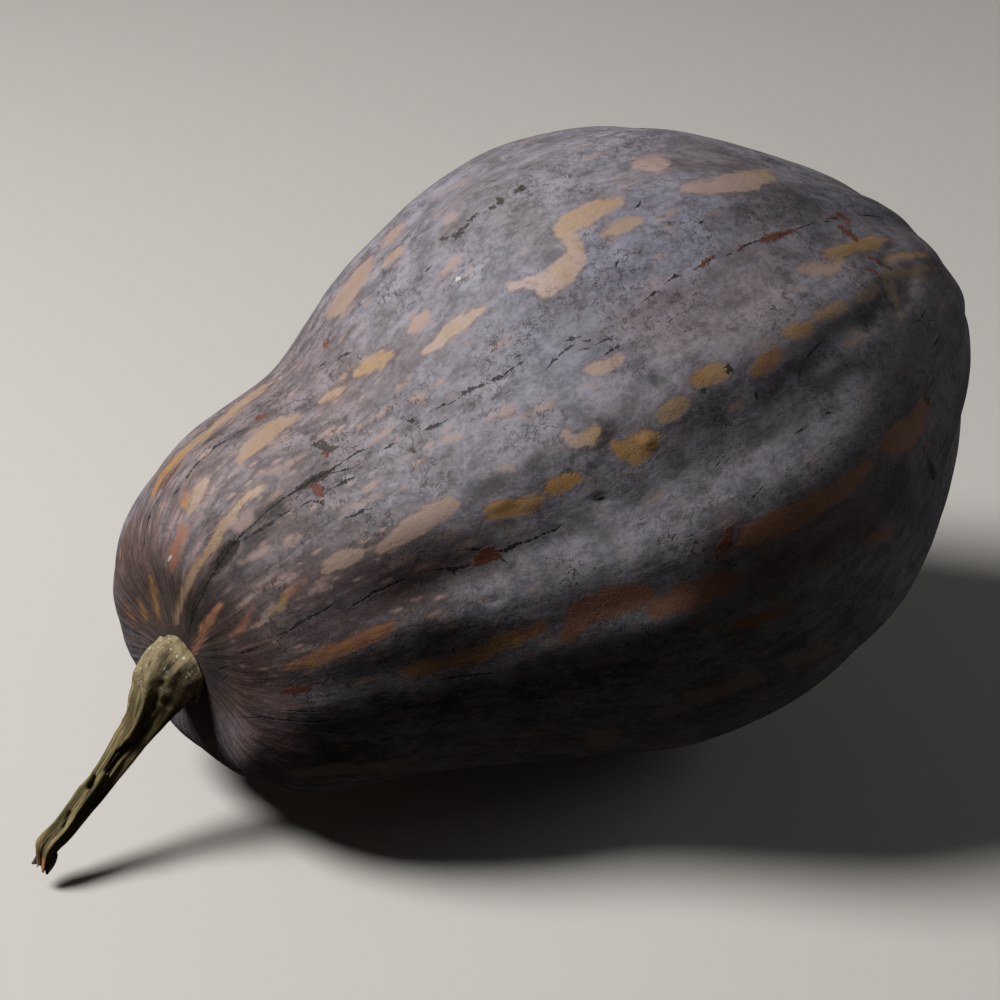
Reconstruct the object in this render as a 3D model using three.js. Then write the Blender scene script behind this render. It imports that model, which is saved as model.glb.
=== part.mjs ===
// A pear-shaped winter squash, as picked, lying on its belly with its dry stem still on.
// Millimetres. +X runs from the stem end to the blossom end and +Z is up. The origin is on the surface that the
// squash lies on, below the middle of its length and width.
import * as THREE from "three";

// The fruit's axis: where it starts, how it rises from the stem end, and how it bends on its way
const STEM_END = new THREE.Vector3(-138.8, 6.4, 71.6);
const FRUIT_LENGTH = 352;
const AXIS_RISE = THREE.MathUtils.degToRad(13.8);
const BEND_UP = -0.025;
const WAVE_UP = -0.14;
const BEND_BACK = -0.03;
const WAVE_BACK = 0.2;

// Half widths at even steps from the stem end to the blossom end, before the two ends round in
const HALF_WIDTHS = [75, 80, 88, 109, 125, 127, 123, 105, 94];
const FLATTENING = 0.056;
const STEM_END_ROUNDING = { reach: 0.265, power: 3.3 };
const BLOSSOM_END_ROUNDING = { reach: 0.44, power: 2 };

// Ribs run from end to end. A furrow lies between each two, and the turn is counted from the top to the front
const RIBS = 14;
const FURROW_TURN = THREE.MathUtils.degToRad(54);
const FURROW_DEPTH = 3.2;
const FURROW_SPREAD = 0.24;

// Slow swells of the flesh, as a height with its turns round the fruit and waves along it
const SWELLS = [
  { height: 1.4, round: 3, along: 9, start: 1.0 },
  { height: 0.9, round: 5, along: -14, start: 2.2 },
];

// Broad folds along the front, as a height at a turn in degrees with its spread, and where they start and sink
const FOLDS = [
  { height: 3.0, turn: 50.6, spread: 7.7 },
  { height: -2.7, turn: 63, spread: 5.4 },
  { height: 4.3, turn: 72, spread: 12 },
  { height: 3.3, turn: 80, spread: 7 },
];
const FOLDS_START = { from: 0.04, to: 0.32 };
const FOLDS_END = { from: 0.6, to: 0.85, loss: 0.8 };

// Single bulges, and hollows where the height is negative, at a place along and a turn in degrees with two spreads
const BULGES = [
  { height: -5.2, along: 0.26, reach: 0.09, turn: -46, spread: 24 },
  { height: 4.9, along: 0.275, reach: 0.075, turn: 143, spread: 20 },
  { height: 2.2, along: 0.59, reach: 0.1, turn: -36, spread: 22 },
  { height: -1.8, along: 0.86, reach: 0.08, turn: 0, spread: 22 },
  { height: -1.6, along: 0.78, reach: 0.07, turn: 120, spread: 20 },
  { height: -1.6, along: 0.53, reach: 0.06, turn: 141, spread: 20 },
  { height: -5.6, along: 0.25, reach: 0.16, turn: 87, spread: 20 },
  { height: 4.5, along: 0.25, reach: 0.16, turn: 46, spread: 15 },
  { height: 4.8, along: 0.5, reach: 0.16, turn: 90, spread: 10 },
  { height: -1.6, along: 0.5, reach: 0.16, turn: 54, spread: 14 },
  { height: -3.4, along: 0.76, reach: 0.14, turn: 38, spread: 8 },
];

// The seat that the stem stands in, and the scar that the blossom left
const STEM_SEAT = { depth: 4, flat: 20, edge: 50 };
const BLOSSOM_SCAR = { depth: 2, flat: 3, edge: 11 };

// The stem: its middle line from the seat, its thickness and taper, its flare, how far it stands square to the seat,
// and its ridges
const STEM_LINE = [
  [0, 0, 0],
  [-6, -1.5, -3.5],
  [-12, -3, -12],
  [-18, -4.2, -20],
  [-27, -6, -27.5],
  [-36.5, -7.7, -36],
  [-47, -9.6, -44.5],
  [-57.3, -11.8, -52],
  [-64.5, -13.1, -56.5],
  [-67, -14.6, -62],
];
const STEM_RADIUS = 5.1;
const STEM_TAPER = 0.24;
const STEM_FLARE = 11.8;
const FLARE_REACH = 15.5;
const SQUARE_REACH = 10.5;
const STEM_RIDGES = 5;
const RIDGE_HEIGHT = 0.15;
const RIDGE_TWIST = 0.9;
const SEAT_GAP = 0.35;
const TORN_TIP = { length: 7, thinning: 0.45, slant: 3.2 };

const FRUIT_SIDES = RIBS * 8;
const FRUIT_RINGS = 46;
const STEM_SIDES = STEM_RIDGES * 5;
const STEM_RINGS = 34;

const FRUIT_MATERIAL = new THREE.MeshStandardMaterial({ color: 0x5f5e66, roughness: 0.62, metalness: 0 });
const STEM_MATERIAL = new THREE.MeshStandardMaterial({ color: 0x7d7350, roughness: 0.85, metalness: 0 });

// The even Catmull-Rom curve through a list of values, carried on straight past both ends
function curveThrough(values, along) {
  const steps = values.length - 1;
  const place = THREE.MathUtils.clamp(along, 0, 1) * steps;
  const i = Math.min(Math.floor(place), steps - 1);
  const f = place - i;
  const at = (k) => {
    if (k < 0) return 2 * values[0] - values[1];
    if (k > steps) return 2 * values[steps] - values[steps - 1];
    return values[k];
  };
  const [a, b, c, d] = [at(i - 1), at(i), at(i + 1), at(i + 2)];
  const bend = (2 * a - 5 * b + 4 * c - d) * f * f;
  const twist = (3 * b - a - 3 * c + d) * f * f * f;
  return 0.5 * (2 * b + (c - a) * f + bend + twist);
}

// How much of the full width is left where an end rounds in, from 0 at its tip to 1
function endRounding(distance, { reach, power }) {
  const left = Math.max(0, 1 - distance / reach);
  return Math.pow(Math.max(0, 1 - Math.pow(left, power)), 1 / power);
}

function halfWidth(along) {
  const ends = endRounding(along, STEM_END_ROUNDING) * endRounding(1 - along, BLOSSOM_END_ROUNDING);
  return curveThrough(HALF_WIDTHS, along) * ends;
}

function axisPoint(along) {
  const bend = along * (1 - along);
  const wave = bend * (1 - 2 * along);
  const up = bend * BEND_UP + wave * WAVE_UP;
  const back = bend * BEND_BACK + wave * WAVE_BACK;
  const x = along * Math.cos(AXIS_RISE) - up * Math.sin(AXIS_RISE);
  const z = along * Math.sin(AXIS_RISE) + up * Math.cos(AXIS_RISE);
  return new THREE.Vector3(x, back, z).multiplyScalar(FRUIT_LENGTH).add(STEM_END);
}

// The axis's direction, and the up and front directions across it
function axisFrame(along) {
  const step = 0.001;
  const before = axisPoint(Math.max(0, along - step));
  const forward = axisPoint(Math.min(1, along + step)).sub(before).normalize();
  const back = new THREE.Vector3(0, 1, 0);
  back.addScaledVector(forward, -forward.dot(back)).normalize();
  const up = new THREE.Vector3().crossVectors(forward, back).normalize();
  return { forward, up, front: back.negate() };
}

// How far a turn is past a place, in degrees and at most half a turn either way
function turnedFrom(place, turn) {
  return THREE.MathUtils.euclideanModulo(THREE.MathUtils.radToDeg(turn) - place + 180, 360) - 180;
}

// Height over the plain form: furrows between the ribs, slow swells, the front's folds and the bulges
function relief(along, turn) {
  const spacing = (2 * Math.PI) / RIBS;
  const offset = (turn - FURROW_TURN) / spacing;
  const fromFurrow = Math.abs(offset - Math.round(offset));
  const furrow = Math.exp(-Math.pow(fromFurrow / FURROW_SPREAD, 2));
  const uneven = 0.75 + 0.25 * Math.cos(3 * turn + 1);
  const fade = THREE.MathUtils.smoothstep(along, 0, 0.5) * 0.6 + 0.4;
  let height = -FURROW_DEPTH * furrow * uneven * fade;
  for (const swell of SWELLS) {
    height += swell.height * Math.sin(swell.round * turn + swell.along * along + swell.start);
  }
  const started = THREE.MathUtils.smoothstep(along, FOLDS_START.from, FOLDS_START.to);
  const sunk = FOLDS_END.loss * THREE.MathUtils.smoothstep(along, FOLDS_END.from, FOLDS_END.to);
  for (const fold of FOLDS) {
    const fromFold = turnedFrom(fold.turn, turn) / fold.spread;
    height += fold.height * started * (1 - sunk) * Math.exp(-fromFold * fromFold);
  }
  for (const bulge of BULGES) {
    const across = turnedFrom(bulge.turn, turn) / bulge.spread;
    const lengthwise = (along - bulge.along) / bulge.reach;
    height += bulge.height * Math.exp(-across * across - lengthwise * lengthwise);
  }
  return height;
}

// How deep a round hollow is at a distance from its middle
function hollow(distance, { depth, flat, edge }) {
  return depth * (1 - THREE.MathUtils.smoothstep(distance, flat, edge));
}

function fruitPoint(along, turn) {
  const { forward, up, front } = axisFrame(along);
  const plain = halfWidth(along);
  const steady = THREE.MathUtils.smoothstep(plain, STEM_SEAT.flat, STEM_SEAT.edge);
  const width = plain + relief(along, turn) * steady;
  const point = axisPoint(along);
  point.addScaledVector(up, width * (1 - FLATTENING) * Math.cos(turn));
  point.addScaledVector(front, width * (1 + FLATTENING) * Math.sin(turn));
  if (along < STEM_END_ROUNDING.reach) point.addScaledVector(forward, hollow(plain, STEM_SEAT));
  if (along > 1 - BLOSSOM_END_ROUNDING.reach) point.addScaledVector(forward, -hollow(plain, BLOSSOM_SCAR));
  point.z = Math.max(point.z, 0);
  return point;
}

// Places along the axis that are evenly spaced over the skin
function evenPlaces(count) {
  const fine = 6000;
  const places = [0];
  const lengths = [0];
  let last = new THREE.Vector2(0, halfWidth(0));
  for (let i = 1; i <= fine; i += 1) {
    const along = 0.5 - 0.5 * Math.cos((Math.PI * i) / fine);
    const next = new THREE.Vector2(along * FRUIT_LENGTH, halfWidth(along));
    places.push(along);
    lengths.push(lengths[i - 1] + next.distanceTo(last));
    last = next;
  }
  const result = [];
  let i = 0;
  for (let k = 0; k <= count; k += 1) {
    const wanted = (lengths[fine] * k) / count;
    while (i < fine - 1 && lengths[i + 1] < wanted) i += 1;
    const share = (wanted - lengths[i]) / (lengths[i + 1] - lengths[i]);
    result.push(places[i] + (places[i + 1] - places[i]) * Math.min(share, 1));
  }
  return result;
}

// A closed body from rings of points, with one point that closes each end
function closedBody(rings, firstEnd, lastEnd) {
  const sides = rings[0].length;
  const positions = [firstEnd, ...rings.flat(), lastEnd].flatMap((p) => [p.x, p.y, p.z]);
  const index = [];
  const last = 1 + rings.length * sides;
  const at = (ring, side) => 1 + ring * sides + (side % sides);
  for (let side = 0; side < sides; side += 1) {
    index.push(0, at(0, side + 1), at(0, side));
    index.push(last, at(rings.length - 1, side), at(rings.length - 1, side + 1));
    for (let ring = 0; ring + 1 < rings.length; ring += 1) {
      index.push(at(ring, side), at(ring + 1, side + 1), at(ring + 1, side));
      index.push(at(ring, side), at(ring, side + 1), at(ring + 1, side + 1));
    }
  }
  const geometry = new THREE.BufferGeometry();
  geometry.setAttribute("position", new THREE.Float32BufferAttribute(positions, 3));
  geometry.setIndex(index);
  geometry.computeVertexNormals();
  return geometry;
}

function fruit() {
  const places = evenPlaces(FRUIT_RINGS);
  const rings = places.slice(1, -1).map((along) => {
    const ring = [];
    for (let side = 0; side < FRUIT_SIDES; side += 1) {
      ring.push(fruitPoint(along, FURROW_TURN + (2 * Math.PI * side) / FRUIT_SIDES));
    }
    return ring;
  });
  const mesh = new THREE.Mesh(closedBody(rings, fruitPoint(0, 0), fruitPoint(1, 0)), FRUIT_MATERIAL);
  mesh.name = "fruit";
  return mesh;
}

// The stem stands square on its seat and bends down to the torn tip
function stem() {
  const seat = fruitPoint(0, 0);
  const { forward, up, front } = axisFrame(0);
  seat.addScaledVector(forward, -SEAT_GAP);
  const line = new THREE.CatmullRomCurve3(STEM_LINE.map(([x, y, z]) => new THREE.Vector3(x, y, z)));
  const length = line.getLength();
  const rings = [];
  for (let k = 0; k <= STEM_RINGS; k += 1) {
    const share = Math.pow(k / STEM_RINGS, 1.25);
    const distance = share * length;
    const direction = line.getTangentAt(share);
    direction.lerp(forward.clone().negate(), 1 - THREE.MathUtils.smoothstep(distance, 0, SQUARE_REACH)).normalize();
    const across = front.clone().addScaledVector(direction, -direction.dot(front)).normalize();
    const over = new THREE.Vector3().crossVectors(direction, across).normalize();
    const torn = THREE.MathUtils.smoothstep(distance, length - TORN_TIP.length, length);
    const plain = STEM_RADIUS * (1 - STEM_TAPER * share) + STEM_FLARE * Math.exp(-distance / FLARE_REACH);
    const radius = plain * (1 - TORN_TIP.thinning * torn);
    const middle = line.getPointAt(share).add(seat);
    const ring = [];
    for (let side = 0; side < STEM_SIDES; side += 1) {
      const turn = (2 * Math.PI * side) / STEM_SIDES;
      const ridge = 1 + RIDGE_HEIGHT * Math.cos(STEM_RIDGES * (turn + RIDGE_TWIST * share));
      const point = middle.clone();
      point.addScaledVector(across, radius * ridge * Math.cos(turn));
      point.addScaledVector(over, radius * ridge * Math.sin(turn));
      point.addScaledVector(direction, torn * TORN_TIP.slant * Math.sin(turn + 1) * 0.5);
      ring.push(point);
    }
    rings.push(ring);
  }
  const tip = line.getPointAt(1).add(seat);
  const mesh = new THREE.Mesh(closedBody(rings, seat.clone(), tip), STEM_MATERIAL);
  mesh.name = "stem";
  return mesh;
}

const squash = new THREE.Group();
squash.add(fruit(), stem());

export default squash;
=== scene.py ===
"""A pear-shaped winter squash as picked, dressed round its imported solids. In metres, with +Z up."""

import math

import bpy
import numpy as np
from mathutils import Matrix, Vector


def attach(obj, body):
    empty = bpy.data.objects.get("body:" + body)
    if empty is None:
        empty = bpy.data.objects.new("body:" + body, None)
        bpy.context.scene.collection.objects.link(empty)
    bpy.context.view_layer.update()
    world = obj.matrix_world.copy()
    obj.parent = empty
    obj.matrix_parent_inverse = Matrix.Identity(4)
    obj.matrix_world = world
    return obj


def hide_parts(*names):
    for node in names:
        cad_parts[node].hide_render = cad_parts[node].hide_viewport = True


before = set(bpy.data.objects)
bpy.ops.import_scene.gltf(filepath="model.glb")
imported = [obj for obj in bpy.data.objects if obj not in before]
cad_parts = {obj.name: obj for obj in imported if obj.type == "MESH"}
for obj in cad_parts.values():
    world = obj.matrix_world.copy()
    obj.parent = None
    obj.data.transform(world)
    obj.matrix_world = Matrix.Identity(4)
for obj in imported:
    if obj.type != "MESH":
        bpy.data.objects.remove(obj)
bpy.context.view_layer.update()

# The viewpoint. The squash is seen from its front left and from above, with a long lens, as in the
# photograph. The marks on its skin are placed by sight lines from here, so this comes before the fruit.
VIEW_AZIMUTH = math.radians(-30.5)
VIEW_ELEVATION = math.radians(28)
VIEW_DISTANCE = 1.216
VIEW_MIDDLE = Vector((-0.01666, -0.03213, 0.12574))
PHOTO_WIDTH = 1000
PHOTO_MIDDLE = PHOTO_WIDTH / 2
FOCAL_PIXELS = 3200
PIXEL = VIEW_DISTANCE / FOCAL_PIXELS

view_back = Vector((
    math.sin(VIEW_AZIMUTH) * math.cos(VIEW_ELEVATION),
    -math.cos(VIEW_AZIMUTH) * math.cos(VIEW_ELEVATION),
    math.sin(VIEW_ELEVATION),
))
view_right = Vector((math.cos(VIEW_AZIMUTH), math.sin(VIEW_AZIMUTH), 0))
view_up = view_back.cross(view_right)
eye = VIEW_MIDDLE + view_back * VIEW_DISTANCE

camera = bpy.data.objects.new("camera", bpy.data.cameras.new("camera"))
camera.data.lens = camera.data.sensor_width * FOCAL_PIXELS / PHOTO_WIDTH
camera.data.clip_end = 20
camera.location = eye
camera.rotation_euler = view_back.to_track_quat("Z", "Y").to_euler()
bpy.context.scene.collection.objects.link(camera)
bpy.context.scene.camera = camera


def photo_spots(points):
    """The pixel of the photograph where each point is seen."""
    from_eye = points - np.array(eye)
    depth = -(from_eye @ np.array(view_back))
    across = from_eye @ np.array(view_right) / depth
    down = -(from_eye @ np.array(view_up)) / depth
    return PHOTO_MIDDLE + FOCAL_PIXELS * np.stack([across, down], axis=1)


# The fruit. One grown body of hard flesh under a thin tough skin: a bent neck that swells into a bulb,
# with shallow ribs, a seat for the stem at one end and the scar of the blossom at the other. It lies on a
# flat spot of its belly.
STEM_END = np.array([-0.1388, 0.0064, 0.0716])
FRUIT_LENGTH = 0.352
AXIS_RISE = math.radians(13.8)
BEND_UP = -0.025
WAVE_UP = -0.14
BEND_BACK = -0.03
WAVE_BACK = 0.2
HALF_WIDTHS = np.array([0.075, 0.080, 0.088, 0.109, 0.125, 0.127, 0.123, 0.105, 0.094])
FLATTENING = 0.056
STEM_END_ROUNDING = {"reach": 0.265, "power": 3.3}
BLOSSOM_END_ROUNDING = {"reach": 0.44, "power": 2}
RIBS = 14
FURROW_TURN = math.radians(54)
FURROW_DEPTH = 0.0032
FURROW_SPREAD = 0.24
# Slow swells of the skin: height, turns round the fruit, waves along it and start. Folds: height, place and
# spread round it in degrees. Bulges: height, place along and round it, reach and spread.
SWELLS = [(0.0014, 3, 9, 1.0), (0.0009, 5, -14, 2.2)]
FOLDS = [(0.0030, 50.6, 7.7), (-0.0027, 63, 5.4), (0.0043, 72, 12), (0.0033, 80, 7)]
FOLDS_START = (0.04, 0.32)
FOLDS_END = (0.6, 0.85)
FOLDS_LOSS = 0.8
BULGES = [
    (-0.0052, 0.26, -46, 0.09, 24), (0.0049, 0.275, 143, 0.075, 20), (0.0022, 0.59, -36, 0.1, 22),
    (-0.0018, 0.86, 0, 0.08, 22), (-0.0016, 0.78, 120, 0.07, 20), (-0.0016, 0.53, 141, 0.06, 20),
    (-0.0056, 0.25, 87, 0.16, 20), (0.0045, 0.25, 46, 0.16, 15), (0.0048, 0.5, 90, 0.16, 10),
    (-0.0016, 0.5, 54, 0.16, 14), (-0.0034, 0.76, 38, 0.14, 8),
]
STEM_SEAT = {"depth": 0.004, "flat": 0.020, "edge": 0.050}
BLOSSOM_SCAR = {"depth": 0.002, "flat": 0.003, "edge": 0.011}

FRUIT_RINGS = 250
SIDES_PER_RIB = 28
FRUIT_SIDES = RIBS * SIDES_PER_RIB
PUCKER_HEIGHT = 0.00013
PUCKERS = [(0.5, 46, 0.4), (0.32, 74, 2.0), (0.3, 17, 1.1)]
PUCKER_START = (0.012, 0.03)
PUCKER_END = (0.03, 0.075)
LUMPS = [(0.045, 0.00055), (0.018, 0.00022), (0.008, 0.00007)]
LUMPS_START = (0.02, 0.06)
LUMPS_SEED = 5
SKIN_RADIUS = 0.110
UNEVEN_WAVES = 40


def smooth_step(values, low, high):
    share = np.clip((values - low) / (high - low), 0, 1)
    return share * share * (3 - 2 * share)


def bell(values, spread):
    """1 where a value is 0, falling off smoothly on both sides."""
    return np.exp(-((values / spread) ** 2))


def curve_through(values, along):
    """The even Catmull-Rom curve through a list of values, carried on straight past both ends."""
    steps = len(values) - 1
    place = np.clip(along, 0, 1) * steps
    i = np.minimum(np.floor(place).astype(int), steps - 1)
    f = place - i
    padded = np.concatenate([[2 * values[0] - values[1]], values, [2 * values[-1] - values[-2]]])
    a, b, c, d = (padded[i + k] for k in range(4))
    bend = (2 * a - 5 * b + 4 * c - d) * f ** 2
    twist = (3 * b - a - 3 * c + d) * f ** 3
    return 0.5 * (2 * b + (c - a) * f + bend + twist)


def end_rounding(distance, reach, power):
    """How much of the full width is left where an end rounds in, from 0 at its tip to 1."""
    left = np.maximum(0, 1 - distance / reach)
    return np.maximum(0, 1 - left ** power) ** (1 / power)


def half_width(along):
    ends = end_rounding(along, **STEM_END_ROUNDING) * end_rounding(1 - along, **BLOSSOM_END_ROUNDING)
    return curve_through(HALF_WIDTHS, along) * ends


def axis_point(along):
    bend = along * (1 - along)
    wave = bend * (1 - 2 * along)
    up = bend * BEND_UP + wave * WAVE_UP
    back = bend * BEND_BACK + wave * WAVE_BACK
    x = along * math.cos(AXIS_RISE) - up * math.sin(AXIS_RISE)
    z = along * math.sin(AXIS_RISE) + up * math.cos(AXIS_RISE)
    return np.stack([x, back, z], axis=-1) * FRUIT_LENGTH + STEM_END


def unit(vectors):
    return vectors / np.linalg.norm(vectors, axis=-1, keepdims=True)


def axis_frame(along):
    """The axis's direction, and the up and front directions across it."""
    step = 0.001
    forward = unit(axis_point(np.minimum(1, along + step)) - axis_point(np.maximum(0, along - step)))
    back = unit(np.array([0, 1, 0]) - forward * forward[..., 1:2])
    return forward, np.cross(forward, back), -back


def turned(turn, place):
    """How far a turn in radians is past a place in degrees, in degrees and at most half a turn either way."""
    return (np.degrees(turn) - place + 180) % 360 - 180


def relief(along, turn):
    """Height over the plain form: furrows between the ribs, and slow swells."""
    offset = (turn - FURROW_TURN) * RIBS / (2 * math.pi)
    from_furrow = np.abs(offset - np.round(offset))
    furrow = bell(from_furrow, FURROW_SPREAD)
    uneven = 0.75 + 0.25 * np.cos(3 * turn + 1)
    fade = smooth_step(along, 0, 0.5) * 0.6 + 0.4
    height = -FURROW_DEPTH * furrow * uneven * fade
    for swell, turns, waves, start in SWELLS:
        height = height + swell * np.sin(turns * turn + waves * along + start)
    share = smooth_step(along, *FOLDS_START) * (1 - FOLDS_LOSS * smooth_step(along, *FOLDS_END))
    for fold, place, spread in FOLDS:
        height = height + fold * share * bell(turned(turn, place), spread)
    for bulge, middle, place, reach, spread in BULGES:
        height = height + bulge * bell(along - middle, reach) * bell(turned(turn, place), spread)
    return height


def hollow(distance, depth, flat, edge):
    return depth * (1 - smooth_step(distance, flat, edge))


def fruit_points(along, turn):
    forward, up, front = axis_frame(along)
    plain = half_width(along)
    steady = smooth_step(plain, STEM_SEAT["flat"], STEM_SEAT["edge"])
    width = (plain + relief(along, turn) * steady)[..., None]
    points = axis_point(along)
    points = points + up * width * (1 - FLATTENING) * np.cos(turn)[..., None]
    points = points + front * width * (1 + FLATTENING) * np.sin(turn)[..., None]
    near_stem = (along < STEM_END_ROUNDING["reach"]) * hollow(plain, **STEM_SEAT)
    near_blossom = (along > 1 - BLOSSOM_END_ROUNDING["reach"]) * hollow(plain, **BLOSSOM_SCAR)
    return points + forward * (near_stem - near_blossom)[..., None]


def even_places(count):
    """Places along the axis that are evenly spaced over the skin, and the distance over the skin to each."""
    fine = 0.5 - 0.5 * np.cos(np.linspace(0, math.pi, 6001))
    steps = np.hypot(np.diff(fine) * FRUIT_LENGTH, np.diff(half_width(fine)))
    lengths = np.concatenate([[0], np.cumsum(steps)])
    wanted = np.linspace(0, lengths[-1], count + 1)
    return np.interp(wanted, lengths, fine), wanted


def unevenness(points, size, seed):
    """Smooth random heights, mostly between -1 and 1, whose bumps are about size across."""
    draw = np.random.default_rng(seed)
    directions = unit(draw.normal(size=(UNEVEN_WAVES, 3)))
    starts = draw.uniform(0, 2 * math.pi, UNEVEN_WAVES)
    waves = np.sin(points @ directions.T * (math.pi / size) + starts)
    return waves.sum(axis=1) / math.sqrt(UNEVEN_WAVES)


def ring_quads(rings, sides):
    """The corners of the faces between rings of points, where point 0 closes the first end."""
    starts = 1 + np.arange(rings - 1)[:, None] * sides
    side = np.arange(sides)
    after = (side + 1) % sides
    corners = [starts + side, starts + after, starts + sides + after, starts + sides + side]
    return np.stack([corner.ravel() for corner in corners], axis=1)


def ring_faces(rings, sides):
    """Faces of a closed body from rings of points, whose first and last point each close an end."""
    last = 1 + rings * sides
    side = np.arange(sides)
    after = (side + 1) % sides
    first_fan = np.stack([np.zeros_like(side), 1 + after, 1 + side], axis=1)
    final = 1 + (rings - 1) * sides
    last_fan = np.stack([np.full_like(side, last), final + side, final + after], axis=1)
    return [*first_fan.tolist(), *ring_quads(rings, sides).tolist(), *last_fan.tolist()]


def new_piece(name, points, faces):
    mesh = bpy.data.meshes.new(name)
    mesh.from_pydata(points.tolist(), [], faces)
    mesh.shade_smooth()
    piece = bpy.data.objects.new(name, mesh)
    bpy.context.scene.collection.objects.link(piece)
    return piece


def store(piece, name, values, kind="FLOAT", domain="POINT"):
    """Keeps a value for each point or corner of a mesh, for its material to read."""
    kept = piece.data.attributes.new(name, kind, domain)
    field = "value" if kind == "FLOAT" else "vector"
    kept.data.foreach_set(field, np.asarray(values, np.float32).ravel())


def for_each_point(ring_values):
    """A value for each ring and both ends, given to each point of the fruit."""
    return np.concatenate([ring_values[:1], np.repeat(ring_values[1:-1], FRUIT_SIDES), ring_values[-1:]])


places, skin_lengths = even_places(FRUIT_RINGS + 1)
ring_turns = FURROW_TURN + 2 * math.pi * np.arange(FRUIT_SIDES) / FRUIT_SIDES
along = for_each_point(places)
turn = np.concatenate([[0], np.tile(ring_turns, FRUIT_RINGS), [0]])
from_stem = for_each_point(skin_lengths)

points = fruit_points(along, turn)
forward, up, front = axis_frame(along)
slope = for_each_point(np.gradient(half_width(places), skin_lengths))
level = np.sqrt(np.maximum(0, 1 - np.clip(slope, -1, 1) ** 2))
outward = up * np.cos(turn)[:, None] + front * np.sin(turn)[:, None]
outward = unit(outward * level[:, None] - forward * slope[:, None])

skin_map = np.stack([from_stem, SKIN_RADIUS * np.cos(turn), SKIN_RADIUS * np.sin(turn)], axis=1)
rise = np.zeros(len(points))
for share, lines, start in PUCKERS:
    rise += share * np.cos(lines * turn + start + 0.5 * unevenness(skin_map, 0.05, lines))
rise *= PUCKER_HEIGHT * smooth_step(from_stem, *PUCKER_START) * (1 - smooth_step(from_stem, *PUCKER_END))
for size, height in LUMPS:
    rise += height * unevenness(points, size, LUMPS_SEED) * smooth_step(from_stem, *LUMPS_START)

# Creases and lumps of the flesh where the photograph shows them: depth in metres, softness in pixels, and
# a line of pixels (x, y, half width)
CREASES = {
    "fold by the right patches": (0.0006, 9, [
        (868, 322, 2), (838, 334, 4), (822, 358, 3), (800, 372, 4), (776, 396, 5)]),
    "fold below them": (0.0006, 7, [(846, 372, 2), (836, 392, 2), (812, 384, 2)]),
    "fold to the blossom": (0.0008, 8, [(902, 282, 3), (880, 296, 4), (868, 318, 3)]),
    "dip under the crusts": (0.0004, 10, [(500, 520, 6), (545, 506, 6), (600, 494, 6)]),
    "shoulder swell": (-0.0022, 24, [(262, 742, 8), (300, 760, 10)]),
    "swell under the low patches": (-0.0028, 26, [(430, 702, 8), (600, 652, 8), (680, 626, 8)]),
    "swell under the right band": (-0.0016, 26, [(800, 572, 6), (860, 538, 8)]),
    "pit in the furrow": (0.0018, 2, [(598, 499, 1), (601, 500, 1)]),
    "pit below the crack": (0.0007, 2, [(491, 602, 1), (498, 598, 1)]),
    "crust, left lump": (-0.0004, 3, [(497, 506, 4), (505, 500, 4)]),
    "crust, right lump": (-0.0003, 3, [(528, 506, 2), (538, 500, 2)]),
    "wart": (-0.0009, 3, [(646, 443, 2), (649, 441, 2)]),
    "dark scab": (0.0008, 3, [(216, 572, 3), (226, 556, 5), (236, 546, 4)]),
    "wavy streak": (-0.0005, 4, [(826, 254, 3), (855, 246, 4), (882, 244, 3)]),
    "blossom edge": (0.0010, 6, [(886, 262, 2), (908, 276, 3), (902, 306, 3)]),
}

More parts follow.
